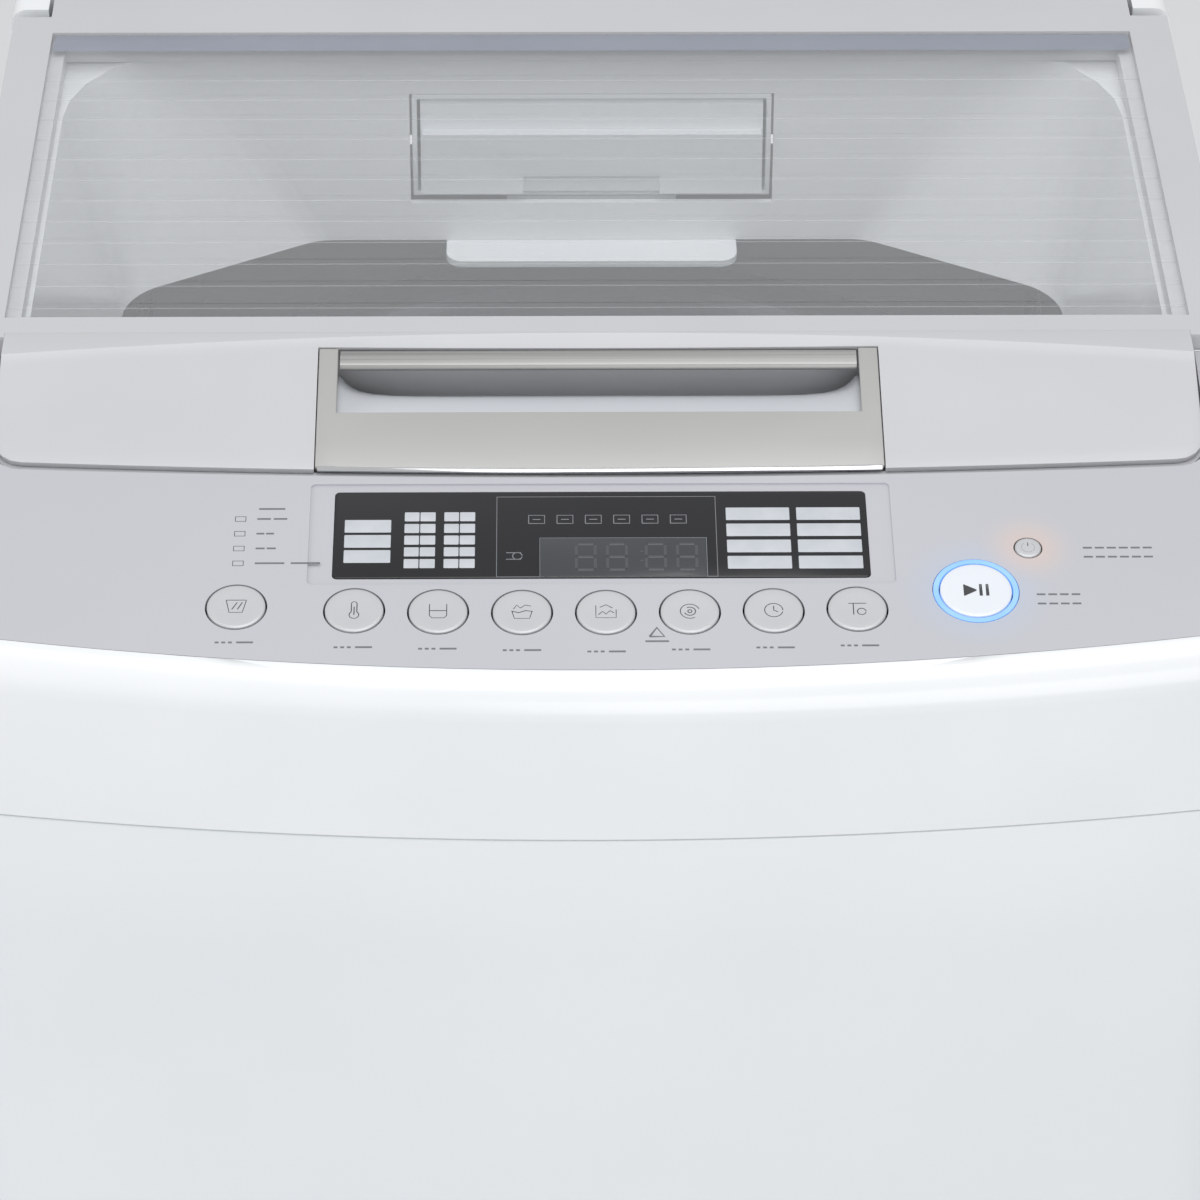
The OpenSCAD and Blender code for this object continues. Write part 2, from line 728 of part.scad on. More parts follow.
module lid_switch() {
  color("dimgray") {
    box(mouth_x - 30, mouth_x - 6, mouth_y1 + 4.5, mouth_y1 + 13, rail_z - 28, rail_z - wall - 0.05);
  }
}

// ---- Dispenser and water inlet ----

module dispenser_housing() {
  x = drawer_w / 2 + drawer_clear;
  color("white") {
    difference() {
      box(-x - housing_wall, x + housing_wall, throat_y1 + 8, housing_y1, drawer_z0 - drawer_clear - housing_wall, housing_z1);
      box(-x, x, throat_y1 - 20, housing_y1 - housing_wall, drawer_z0 - drawer_clear, drawer_z1 + drawer_clear);
      across(2 * x + 20) polygon([
        [throat_y1 - 20, throat_z], [wall_y(throat_z) + 0.5, throat_z], [wall_y(rail_z) + 0.5, rail_z],
        [throat_y1 - 20, rail_z]]);
    }
    // Spout lip over the throat
    translate([0, throat_y1 - 3, throat_z - 4.6]) linear_extrude(4) round_rect(137, 30, 8);
    box(-40, 40, throat_y1 + 9, throat_y1 + 16, throat_z - 4.6, drawer_z0 - drawer_clear - 1);
  }
}

module detergent_drawer() {
  z0 = drawer_z0;
  back = housing_y1 - housing_wall - 2;
  depth_y = wall_y(drawer_z0) + 6;
  color("whitesmoke") difference() {
    union() {
      across(drawer_w) polygon([
        [wall_y(z0) - 1, z0], [wall_y(z0) + 4, z0], [wall_y(drawer_z1) + 4, drawer_z1],
        [wall_y(drawer_z1) - 1, drawer_z1]]);
      box(-drawer_w / 2 + 1, drawer_w / 2 - 1, wall_y(z0), back, z0, z0 + drawer_h * 0.72);
    }
    box(-drawer_w / 2 + 3.5, -2, depth_y + 6, back - 2.5, z0 + 2.5, body_h);
    box(2, drawer_w / 2 - 3.5, depth_y + 6, back - 2.5, z0 + 2.5, body_h);
    box(-32, 32, 0, wall_y(z0) + 1.5, z0 - 1, z0 + 9);
  }
}

module inlet_valves() {
  color("royalblue") for (x = valve_x) translate([x, recess_y - 3.5, valve_z]) {
    translate([0, 3.5 + valve_thread_l + 2, 0]) rotate([90, 0, 0]) difference() {
      union() {
        cylinder(r = valve_thread_r, h = valve_thread_l);
        translate([0, 0, valve_thread_l - 1]) cylinder(r = 15.5, h = 2.5);
        cylinder(r = 10.5, h = valve_thread_l + 16);
      }
      translate([0, 0, -1]) cylinder(r = 9, h = 12);
    }
    translate([-12, -22, -12]) cube([24, 18, 22]);
  }
}

module cord_gland() {
  color("dimgray") translate([gland_x(), cover_y, gland_z()]) rotate([-90, 0, 0]) difference() {
    union() {
      translate([0, 0, -6]) cylinder(r = 8.9, h = 8);
      translate([0, 0, 0.05]) cylinder(r = 11.5, h = 4);
    }
    translate([0, 0, -8]) cylinder(r = 4, h = 20);
  }
}

// ---- Suspension ----

module rod_seats() {
  color("whitesmoke") for (p = rod_xy) translate([p[0], p[1], bracket_z]) difference() {
    union() {
      translate([0, 0, -6]) cylinder(r = 12.4, h = 10);
      translate([0, 0, 2.55]) cylinder(r = 16, h = ball_z - bracket_z - 5);
    }
    translate([0, 0, -7]) cylinder(r = rod_r + 2, h = 40);
    translate([0, 0, ball_z - bracket_z]) sphere(r = ball_r + 0.3);
  }
}

module suspension_rods() {
  color("silver") for (p = rod_xy) translate([p[0], p[1], 0]) {
    translate([0, 0, disc_z - 6]) cylinder(r = rod_r, h = ball_z - disc_z + 6);
    translate([0, 0, ball_z]) sphere(r = ball_r);
    translate([0, 0, disc_z]) cylinder(r = cup_in - 1.5, h = disc_t);
  }
}

module suspension_cups() {
  color("dimgray") for (p = rod_xy) translate([p[0], p[1], lug_z - cup_h]) difference() {
    cylinder(r = cup_r, h = cup_h - 0.05);
    translate([0, 0, -1]) cylinder(r = cup_in, h = cup_h - 3);
    cylinder(r = rod_r + 2, h = cup_h + 1);
  }
}

// One helix as a closed tube of small flat facets.
module coil(r, wire, z0, z1, turns) {
  sides = 6;
  rings = turns * 14;
  pts = [for (i = [0:rings], j = [0:sides - 1])
    let (t = 360 * turns * i / rings, s = 360 * j / sides, rr = r + wire * cos(s))
      [rr * cos(t), rr * sin(t), z0 + (z1 - z0) * i / rings + wire * sin(s)]];
  faces = concat(
    [[for (j = [0:sides - 1]) j]],
    [for (i = [0:rings - 1], j = [0:sides - 1])
      let (a = i * sides + j, b = i * sides + (j + 1) % sides) [a, a + sides, b + sides, b]],
    [[for (j = [0:sides - 1]) rings * sides + sides - 1 - j]]);
  polyhedron(points = pts, faces = faces, convexity = 10);
}

module suspension_springs() {
  color("silver") for (p = rod_xy) translate([p[0], p[1], 0])
    coil(spring_r, spring_wire, spring_z0, spring_z1, spring_turns);
}

// ---- Tub ----

module outer_tub() {
  color("white") difference() {
    union() {
      rotate_extrude() polygon([
        [seal_r, tub_z], [tub_r - 10, tub_z], [tub_r, tub_z + 10], [tub_r, tub_top],
        [tub_in, tub_top], [tub_in, tub_z + 12], [tub_in - 9, tub_z + 4], [seal_r, tub_z + 4]]);
      translate([0, 0, plate_z1]) tube(tub_r - 14, tub_r - 17, rib_h + 1);
      translate([0, 0, plate_z1]) tube(84, 80, rib_h + 1);
      translate([0, 0, plate_z1]) tube(seal_r + 7, seal_r, rib_h + 1);
      for (k = [0:11]) rotate(k * 30 + 15) box(82, tub_r - 15, -1.5, 1.5, plate_z1, tub_z + 1);
      for (p = rod_xy) lug(p);
      for (z = [tub_z + 180, tub_z + 330]) translate([0, 0, z]) tube(tub_r + 3, tub_r - 1, 4);
    }
    for (p = rod_xy) translate([p[0], p[1], lug_z - 1]) cylinder(r = rod_r + 2, h = lug_t + 40);
    translate([drain_x, drain_y, plate_z1 - 1]) cylinder(r = 18.1, h = rib_h + 1);
    translate([drain_x, drain_y, tub_z - 1]) cylinder(r = 14, h = 8);
  }
}

// Arm from the tub wall to one rod, with an upright web.
module lug(p) {
  reach = norm(p);
  difference() {
    rotate(atan2(p[1], p[0])) {
      prism(lug_z, lug_z + lug_t) {
        translate([reach, 0]) circle(r = 20);
        translate([tub_in - 10, -24]) square([reach - tub_in + 10, 48]);
      }
      box(tub_in - 10, reach - 20, -2.5, 2.5, lug_z, lug_z + 75);
    }
    translate([0, 0, lug_z - 1]) cylinder(r = tub_r - 1, h = 90);
  }
}

// Dark ring that closes the gap between tub and drum, clipped over the tub's rim.
module tub_cover() {
  color("dimgray") rotate_extrude() polygon([
    [throat_r, tub_top - 2], [throat_r + 3, tub_top - 2], [throat_r + 3, cover_rim_z - 6],
    [tub_r - 14, tub_top + 0.2], [tub_r + 0.3, tub_top + 0.2], [tub_r + 0.3, tub_top - 9],
    [tub_r + 3, tub_top - 9], [tub_r + 3, tub_top + 3.5], [tub_r - 13, tub_top + 3.5],
    [throat_r + 6, cover_rim_z], [throat_r, cover_rim_z - 3]]);
}

module tub_seal() {
  color("black") translate([0, 0, tub_z - 8]) rotate_extrude() polygon([
    [spin_shaft_r + 0.15, 0], [seal_r - 0.1, 0], [seal_r - 0.1, 12], [spin_shaft_r + 4, 12],
    [spin_shaft_r + 0.15, 8]]);
}

// ---- Drum ----

module inner_drum() {
  color("silver") rotate_extrude() polygon([
    [drum_r - 14, base_disc_z + 0.2], [drum_r, drum_z0 - 4], [drum_r, drum_top], [drum_r + 3, drum_top],
    [drum_r + 3, drum_top + 1], [drum_r - 1, drum_top + 1], [drum_r - 1, drum_z0 - 3.7],
    [drum_r - 15, base_disc_z + 1.2], [drum_r - 26, base_disc_z + 1.2], [drum_r - 26, base_disc_z + 0.2]]);
}

module drum_base() {
  color("lightgray") difference() {
    rotate_extrude() polygon([
      [spin_shaft_r + 0.05, base_disc_z + 0.1], [drum_r - 30, base_disc_z + 0.1],
      [drum_r - 30, base_disc_z + 4], [drum_r - 16, base_disc_z + 4], [drum_r - 6, drum_z0 - 2],
      [drum_r - 6, base_disc_z + base_disc_t + 14], [drum_r - 10, base_disc_z + base_disc_t + 14],
      [drum_r - 12, base_disc_z + base_disc_t - 2], [pulsator_r + 4, base_disc_z + base_disc_t - 6],
      [spin_shaft_r + 0.05, base_disc_z + base_disc_t - 6]]);
    for (k = [0:5]) rotate(k * 60) translate([45, 0, base_disc_z - 1]) cylinder(r = 4, h = 10);
    for (k = [0:23]) rotate(k * 15) translate([pulsator_r - 20, 0, base_disc_z - 1]) cylinder(r = 5, h = 40);
  }
}

module balance_ring() {
  z1 = drum_top + 32;
  z0 = z1 - balancer_h;
  color("gray") rotate_extrude() polygon([
    [drum_r - balancer_w + 6, z0], [drum_r - 1.2, z0], [drum_r - 1.2, drum_top + 1.2],
    [drum_r + 4, drum_top + 1.2], [drum_r + 4, z1 - 8], [drum_r - 2, z1], [drum_r - balancer_w + 8, z1],
    [drum_r - balancer_w, z1 - 8], [drum_r - balancer_w, z0 + 14]]);
}

// Two lint traps, clipped to opposite sides of the drum wall.
module lint_filters() {
  z0 = pulsator_z + 130;
  color("white") for (s = [0, 180]) rotate(s) difference() {
    intersection() {
      translate([0, 0, z0]) tube(drum_r - 1.3, drum_r - 15, 150);
      translate([drum_r - 10, 0, z0 + 75]) rotate([0, 90, 0]) linear_extrude(60, center = true) round_rect(150, 96, 14);
    }
    intersection() {
      translate([0, 0, z0 + 22]) tube(drum_r - 10, drum_r - 13, 106);
      box(drum_r - 40, drum_r, -36, 36, z0, z0 + 150);
    }
    intersection() {
      translate([0, 0, z0 + 24]) cylinder(r = drum_r - 11, h = 58);
      box(drum_r - 40, drum_r, -34, 34, z0, z0 + 150);
    }
  }
}

// Hollow shaft with the flange that carries the drum.
module spin_shaft() {
  color("silver") difference() {
    union() {
      translate([0, 0, clutch_z0 + 8]) cylinder(r = spin_shaft_r, h = base_disc_z + base_disc_t - 7 - clutch_z0 - 8);
      translate([0, 0, hub_z]) cylinder(r = 62, h = 11.9);
      for (k = [0:2]) rotate(k * 120 + 30) box(30, drum_r - 40, -14, 14, hub_z + 2, hub_z + 11.9);
    }
    cylinder(r = wash_shaft_r + running, h = body_h);
    for (k = [0:5]) rotate(k * 60) translate([45, 0, hub_z - 1]) cylinder(r = 3.3, h = 30);
  }
}

// ---- Agitator and drive ----

module pulsator() {
  color("lightgray") difference() {
    union() {
      rotate_extrude() polygon([
        [wash_shaft_r + 0.02, pulsator_z], [pulsator_r - 2, pulsator_z], [pulsator_r, pulsator_z + 3],
        [pulsator_r, pulsator_z + pulsator_rim], [pulsator_r - 6, pulsator_z + pulsator_rim + 2],
        [pulsator_r - 40, pulsator_z + 8], [48, pulsator_z + 12], [34, pulsator_z + 27],
        [wash_shaft_r + 0.02, pulsator_z + 30]]);
      for (k = [0:fin_count - 1]) rotate(k * 360 / fin_count) rotate([90, 0, 0])
        translate([0, 0, -7]) linear_extrude(14) polygon([
          [25, pulsator_z + 5], [pulsator_r - 12, pulsator_z + 5], [pulsator_r - 22, pulsator_z + 20],
          [pulsator_r - 75, pulsator_z + fin_h], [40, pulsator_z + fin_h - 2], [25, pulsator_z + 20]]);
    }
    for (k = [0:17]) rotate(k * 20 + 10) translate([pulsator_r - 26, 0, pulsator_z - 1]) cylinder(r = 3, h = 30);
  }
}

// Solid shaft through the spin shaft, with the pulsator's screw head on top.
module wash_shaft() {
  color("silver") {
    translate([0, 0, pulley_z - 6]) cylinder(r = wash_shaft_r, h = shaft_top - pulley_z + 13);
    translate([0, 0, pulsator_z + 30.1]) cylinder(r = 14, h = 5);
  }
}

module clutch_pulley() {
  r0 = clutch_pulley_r - belt_slack;
  color("silver") difference() {
    translate([0, 0, pulley_z]) rotate_extrude() polygon([
      [wash_shaft_r + 0.02, 0], [20, 0], [22, 6], [r0 - 12, 6], [r0 - 9, 1], [r0 + 9, 1], [r0 + 9, 4],
      [r0, 4], [r0, 16], [r0 + 9, 16], [r0 + 9, 19], [r0 - 9, 19], [r0 - 12, 11], [22, 11], [20, pulley_h],
      [wash_shaft_r + 0.02, pulley_h]]);
    for (k = [0:4]) rotate(k * 72) translate([38, 0, pulley_z - 1]) cylinder(r = 9, h = pulley_h + 2);
  }
}

// Gear case: turned housing with a bearing seat at each end, bolted under the drive plate.
module clutch_housing() {
  h = plate_z0 - clutch_z0;
  bore = spin_shaft_r + running;
  color("darkgray") difference() {
    union() {
      translate([0, 0, clutch_z0]) cylinder(r = housing_r - 12, h = 16);
      translate([0, 0, clutch_z0 + 14]) cylinder(r = housing_r, h = h - 24);
      translate([0, 0, plate_z0 - 10.1]) cylinder(r = housing_r + 18, h = 10);
      for (k = [0:5]) rotate(k * 60 + 30)
        box(housing_r - 6, housing_r + 14, -2, 2, clutch_z0 + 20, plate_z0 - 9);
    }
    translate([0, 0, clutch_z0 - 1]) cylinder(r = bore, h = h + 2);
    translate([0, 0, clutch_z0 + 8 + bearing_w]) cylinder(r = bearing_r + 8, h = h - 2 * bearing_w - 16);
    for (k = [0:3]) rotate(k * 90 + 45) translate([housing_r + 10, 0, plate_z0 - 20]) cylinder(r = 3.3, h = 30);
  }
}

// Pressed plate under the tub that carries the gear case, the motor and the drain valve.
module drive_plate() {
  color("silver") difference() {
    prism(plate_z0, plate_z1 - 0.1) {
      circle(r = 130);
      rotate(motor_angle) translate([0, -85]) square([tub_r - 22, 170]);
      rotate(motor_angle + 180) translate([0, -60]) square([tub_r - 22, 120]);
    }
    translate([0, 0, plate_z0 - 1]) cylinder(r = seal_r + 2, h = 10);
    for (k = [0:3]) rotate(k * 90 + 45) translate([housing_r + 10, 0, plate_z0 - 1]) cylinder(r = 3.3, h = 9);
    for (s = [-1, 1]) translate([motor_xy[0], motor_xy[1], plate_z0 - 1]) rotate(motor_angle + s * 90)
      translate([motor_r + 8, 0, 0]) cylinder(r = 4.2, h = 9);
  }
}

// Both pulleys wrapped by one loop of points, at the given radii.
function loop(r1, r2) =
  let (lean = acos((r1 - r2) / belt_centres))
  concat(arc([0, 0], r1, lean, 360 - lean, 40), arc([belt_centres, 0], r2, -lean, lean, 16));

module drive_belt() {
  z0 = pulley_z + 5;
  color("black") rotate(motor_angle) prism(z0, z0 + belt_w) difference() {
    polygon(loop(clutch_pulley_r + belt_t, motor_pulley_r + belt_t));
    polygon(loop(clutch_pulley_r, motor_pulley_r));
  }
}

module at_motor() {
  translate([motor_xy[0], motor_xy[1], 0]) rotate(motor_angle) children();
}

// Laminated stator in two end shields, with ears on rubber mounts.
module motor_stator() {
  z0 = motor_top - motor_h;
  color("dimgray") at_motor() difference() {
    union() {
      translate([0, 0, z0]) cylinder(r = motor_r - 4, h = motor_h);
      translate([0, 0, z0 + 16]) cylinder(r = motor_r, h = motor_h - 32);
      for (s = [-1, 1]) {
        translate([-9, s > 0 ? motor_r - 14 : -motor_r - 16, motor_top - 8]) cube([18, 30, 8]);
        translate([0, s * (motor_r + 8), motor_top]) cylinder(r = 9, h = plate_z0 - motor_top - 0.1);
        translate([0, s * (motor_r + 8), motor_top]) cylinder(r = 4, h = plate_z1 - motor_top);
      }
    }
    translate([0, 0, z0 + 6]) cylinder(r = rotor_r, h = motor_h - 12);
    translate([0, 0, z0 - 1]) cylinder(r = motor_shaft_r + running, h = motor_h + 2);
  }
}

// Rotor, shaft and belt pulley on one axis.
module motor_rotor() {
  z0 = motor_top - motor_h;
  r0 = motor_pulley_r - belt_slack;
  color("silver") at_motor() {
    translate([0, 0, z0 + 7]) cylinder(r = rotor_r - rotor_gap, h = motor_h - 14);
    translate([0, 0, pulley_z]) cylinder(r = motor_shaft_r, h = motor_top + 3 - pulley_z);
    translate([0, 0, pulley_z + 1]) rotate_extrude() polygon([
      [0, 0], [r0 + 9, 0], [r0 + 9, 3], [r0, 3], [r0, 15], [r0 + 9, 15], [r0 + 9, 18], [0, 18]]);
  }
}

// Drain valve under the tub's outlet, with its actuator and drop tube.
module drain_valve() {
  color("white") difference() {
    union() {
      translate([drain_x - 42, drain_y, drain_z]) rotate([0, 90, 0]) cylinder(r = drain_r, h = 80);
      translate([drain_x, drain_y, drain_z]) cylinder(r = 18, h = tub_z - drain_z - 0.05);
      translate([drop_x, drain_y, outlet_z]) cylinder(r = outlet_r, h = drain_z - outlet_z);
      box(drain_x + 37, drain_x + 72, drain_y - 16, drain_y + 16, drain_z - 16, drain_z + 14);
    }
    translate([drain_x - 39, drain_y, drain_z]) rotate([0, 90, 0]) cylinder(r = drain_in, h = 70);
    translate([drain_x, drain_y, drain_z]) cylinder(r = 14, h = tub_z - drain_z + 1);
    translate([drop_x, drain_y, outlet_z - 1]) cylinder(r = outlet_r - 3, h = drain_z - outlet_z);
  }
}

// Corrugated rubber sleeve between the moving outlet and the fixed elbow.
module drain_bellows() {
  z0 = elbow_z - clip;
  z1 = outlet_z + clip;
  n = 5;
  p = (z1 - z0 - 2 * clip) / n;
  outer = [for (i = [0:n - 1]) each [[outlet_r + 2, z0 + clip + i * p], [outlet_r + 6, z0 + clip + (i + 0.5) * p]]];
  inner = [for (i = [n - 1:-1:0]) each [[outlet_r + 4.3, z0 + clip + (i + 0.5) * p], [outlet_r + 0.3, z0 + clip + i * p]]];
  color("black") translate([drop_x, drain_y, 0]) rotate_extrude() polygon(concat(
    [[outlet_r + 0.3, z0], [outlet_r + 3, z0]], outer, [[outlet_r + 3, z1 - clip], [outlet_r + 3, z1],
    [outlet_r + 0.3, z1], [outlet_r + 0.3, z1 - clip]], inner));
}

// Fixed elbow from the bellows to the outlet spigot at the rear, standing on the base frame.
module drain_elbow() {
  color("dimgray") difference() {
    union() {
      translate([drop_x, drain_y, spigot_z - spigot_r]) cylinder(r = outlet_r, h = elbow_z - spigot_z + spigot_r);
      translate([drop_x, rear_y - 2, spigot_z]) rotate([90, 0, 0]) cylinder(r = spigot_r, h = 22);
      translate([drop_x, rear_y - 23, spigot_z]) rotate([90, 0, 0]) cylinder(r = spigot_r + 1.5, h = rear_y - 23 - drain_y);
      box(drop_x - 9, drop_x + 9, rear_y - base_rim + wall + 1, rear_y - base_rim + wall + 11,
          foot_h + wall + 0.05, spigot_z - 8);
    }
    translate([drop_x, drain_y, spigot_z]) cylinder(r = outlet_r - 3, h = elbow_z);
    translate([drop_x, rear_y, spigot_z]) rotate([90, 0, 0]) cylinder(r = spigot_r - 3, h = rear_y - drain_y);
  }
}

cabinet();
rear_cover();
rear_cover_screws();
base_frame();
foot(0);  // foot_front_left
foot(1);  // foot_front_right
foot(2);  // foot_rear_left
foot(3);  // foot_rear_right
foot_lock_nuts();
top_cover();
control_panel();
display_window();
control_board();
panel_button(0);  // button_program
panel_button(1);  // button_temperature
panel_button(2);  // button_water_level
panel_button(3);  // button_wash
panel_button(4);  // button_rinse
panel_button(5);  // button_spin
panel_button(6);  // button_delay
panel_button(7);  // button_option
button_start();
start_light_ring();
button_power();
lid_frame();
lid_window();
lid_front_cover();
handle_bezel();
handle_cup();
handle_grip();
hinge_pins();
lid_switch();
dispenser_housing();
detergent_drawer();
inlet_valves();
cord_gland();
corner_brackets();
rod_seats();
suspension_rods();
suspension_cups();
suspension_springs();
outer_tub();
tub_cover();
tub_seal();
inner_drum();
drum_base();
balance_ring();
lint_filters();
spin_shaft();
pulsator();
wash_shaft();
clutch_pulley();
clutch_housing();
drive_plate();
drive_belt();
motor_stator();
motor_rotor();
drain_valve();
drain_bellows();
drain_elbow();
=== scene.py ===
"""Top load washing machine in a plain studio: white cabinet, moulded top cover, silver panel, window lid."""

import math

import bpy
from mathutils import Matrix, Vector


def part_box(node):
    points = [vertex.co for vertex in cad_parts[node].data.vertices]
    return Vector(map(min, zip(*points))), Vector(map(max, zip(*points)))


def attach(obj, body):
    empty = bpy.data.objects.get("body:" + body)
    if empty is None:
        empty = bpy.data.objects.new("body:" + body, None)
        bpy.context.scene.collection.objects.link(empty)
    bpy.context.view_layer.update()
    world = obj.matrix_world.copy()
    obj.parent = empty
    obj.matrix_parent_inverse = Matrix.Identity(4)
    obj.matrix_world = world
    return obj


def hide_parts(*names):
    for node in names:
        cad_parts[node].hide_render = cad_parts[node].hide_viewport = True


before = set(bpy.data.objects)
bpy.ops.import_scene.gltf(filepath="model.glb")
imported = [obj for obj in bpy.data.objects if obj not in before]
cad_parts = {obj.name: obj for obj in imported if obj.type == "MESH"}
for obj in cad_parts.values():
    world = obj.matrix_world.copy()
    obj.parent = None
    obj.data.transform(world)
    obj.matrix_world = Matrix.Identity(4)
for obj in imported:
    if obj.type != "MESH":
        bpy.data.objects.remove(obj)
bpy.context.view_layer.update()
bpy.ops.object.select_all(action="DESELECT")
mm = 0.001


# ---- Cabinet ----
# One sheet of 1 mm steel folded round the front and both sides, enamelled white after forming.
# The front is rolled to a shallow bow, and the hems at the top and bottom are turned in.

def linear(code):
    """A colour socket's value for an sRGB hex code."""
    parts = [int(code[i:i + 2], 16) / 255 for i in (1, 3, 5)]
    return [c / 12.92 if c <= 0.04045 else ((c + 0.055) / 1.055) ** 2.4 for c in parts] + [1.0]


def put(tree, kind, settings, **links):
    """Adds one node: settings go to its sockets or its properties, links are socket=(node, output)."""
    made = tree.nodes.new(kind)
    for key, value in settings.items():
        if key in made.inputs:
            made.inputs[key].default_value = value
        else:
            setattr(made, key, value)
    for socket, (source, output) in links.items():
        tree.links.new(source.outputs[output], made.inputs[socket.replace("_", " ")])
    return made


def started(name, **shader):
    """A new material: its tree, its shader node and the object's own coordinates."""
    material = bpy.data.materials.new(name)
    material.use_nodes = True
    tree = material.node_tree
    surface = tree.nodes["Principled BSDF"]
    for key, value in shader.items():
        surface.inputs[key.replace("_", " ")].default_value = value
    return material, tree, surface, put(tree, "ShaderNodeTexCoord", {})


def clouded(tree, surface, place, dark, light, patch_mm):
    """Base colour that drifts between two shades over patches of that size."""
    patches = put(tree, "ShaderNodeTexNoise", {"Scale": 1000 / patch_mm, "Detail": 2.0},
                  Vector=(place, "Object"))
    blend = put(tree, "ShaderNodeMixRGB", {"Color1": linear(dark), "Color2": linear(light)},
                Fac=(patches, 0))
    tree.links.new(blend.outputs[0], surface.inputs["Base Color"])
    return blend


def grained(tree, surface, place, grain_mm, relief_mm, rough_low, rough_high):
    """Fine relief and uneven gloss from one noise of that grain."""
    grain = put(tree, "ShaderNodeTexNoise", {"Scale": 1000 / grain_mm, "Detail": 4.0},
                Vector=(place, "Object"))
    relief = put(tree, "ShaderNodeBump", {"Strength": 0.35, "Distance": relief_mm * mm}, Height=(grain, 0))
    gloss = put(tree, "ShaderNodeMapRange", {"To Min": rough_low, "To Max": rough_high}, Value=(grain, 0))
    tree.links.new(relief.outputs[0], surface.inputs["Normal"])
    tree.links.new(gloss.outputs[0], surface.inputs["Roughness"])


def surfaced(name, dark, light, patch_mm, grain_mm, relief_mm, rough_low, rough_high, **shader):
    """A material with drifting colour, fine relief and uneven gloss."""
    material, tree, surface, place = started(name, **shader)
    clouded(tree, surface, place, dark, light, patch_mm)
    grained(tree, surface, place, grain_mm, relief_mm, rough_low, rough_high)
    return material


def enamelled(name, dark, light):
    """Baked enamel on steel: a clear gloss over a faint orange peel of about 3 mm."""
    return surfaced(name, dark, light, 160, 3.0, 0.05, 0.30, 0.38,
                    IOR=1.52, Coat_Weight=0.35, Coat_Roughness=0.08)


def bowed_outline(half, front, bow, corner, rear, rear_corner):
    """Plan of the casing: bowed front, two rounded front corners and two tight rear ones."""
    cx = half - corner
    cy = front + bow - math.sqrt((bow - corner) ** 2 - cx * cx)
    lean = math.asin(cx / (bow - corner))
    quarter = math.pi / 2

    def swept(x, y, radius, begin, end, steps):
        turns = [begin + (end - begin) * i / steps for i in range(steps + 1)]
        return [(x + radius * math.cos(t), y + radius * math.sin(t)) for t in turns]

    return (swept(0, front + bow, bow, -quarter - lean, -quarter + lean, 48)[:-1]
            + swept(cx, cy, corner, -quarter + lean, 0, 14)
            + swept(half - rear_corner, rear - rear_corner, rear_corner, 0, quarter, 5)
            + swept(rear_corner - half, rear - rear_corner, rear_corner, quarter, 2 * quarter, 5)
            + swept(-cx, cy, corner, 2 * quarter, 3 * quarter - lean, 14)[:-1])


def only(piece):
    """Makes one piece the selected and active one."""
    bpy.ops.object.select_all(action="DESELECT")
    bpy.context.view_layer.objects.active = piece
    piece.select_set(True)


def loop_of(name, points):
    """A circle primitive whose corners are moved onto the points."""
    bpy.ops.object.select_all(action="DESELECT")
    bpy.ops.mesh.primitive_circle_add(vertices=len(points), radius=0.1, fill_type="NOTHING")
    piece = bpy.context.object
    piece.name = piece.data.name = name
    for corner, point in zip(piece.data.vertices, points):
        corner.co = point
    return piece


def capped():
    """Fills the selected rim of the active piece with one face."""
    bpy.ops.object.mode_set(mode="EDIT")
    bpy.ops.mesh.edge_face_add()
    bpy.ops.object.mode_set(mode="OBJECT")


def pulled(piece, points):
    """Extrudes the selected rim and sets each new corner on its point."""
    old = len(piece.data.vertices)
    if "rim" not in piece:
        piece["rim"] = list(range(old))
    rim = list(piece["rim"])
    bpy.ops.object.mode_set(mode="EDIT")
    bpy.ops.mesh.extrude_region_move()
    bpy.ops.object.mode_set(mode="OBJECT")
    raised = {}
    for edge in piece.data.edges:
        a, b = edge.vertices
        if a < old <= b:
            raised[a] = b
        elif b < old <= a:
            raised[b] = a
    for corner, point in zip(rim, points):
        piece.data.vertices[raised[corner]].co = point
    piece["rim"] = [raised[corner] for corner in rim]


def gridded(name, columns, rows, place):
    """A grid primitive with a corner for each column and row, each set where the rule puts it."""
    bpy.ops.object.select_all(action="DESELECT")
    bpy.ops.mesh.primitive_grid_add(x_subdivisions=len(columns) - 1, y_subdivisions=len(rows) - 1, size=1)
    piece = bpy.context.object
    piece.name = piece.data.name = name
    order = sorted(piece.data.vertices, key=lambda c: (round(c.co.y, 4), round(c.co.x, 4)))
    for number, row in enumerate(rows):
        for column, x in enumerate(columns):
            order[number * len(columns) + column].co = place(x, row)
    return piece


def facing_out(piece, merge=0.00001):
    """Merges doubles and turns every face outwards."""
    only(piece)
    bpy.ops.object.mode_set(mode="EDIT")
    bpy.ops.mesh.select_all(action="SELECT")
    bpy.ops.mesh.remove_doubles(threshold=merge)
    bpy.ops.mesh.delete_loose()
    bpy.ops.mesh.select_all(action="SELECT")
    bpy.ops.mesh.normals_make_consistent(inside=False)
    bpy.ops.object.mode_set(mode="OBJECT")
    if "rim" in piece:
        del piece["rim"]


def faces_chosen(piece, wanted):
    """Selects the faces that the rule wants, and leaves the piece in edit mode."""
    only(piece)
    bpy.ops.object.mode_set(mode="EDIT")
    bpy.ops.mesh.select_mode(type="FACE")
    bpy.ops.mesh.select_all(action="DESELECT")
    bpy.ops.object.mode_set(mode="OBJECT")
    for face in piece.data.polygons:
        face.select = wanted(face)
    bpy.ops.object.mode_set(mode="EDIT")


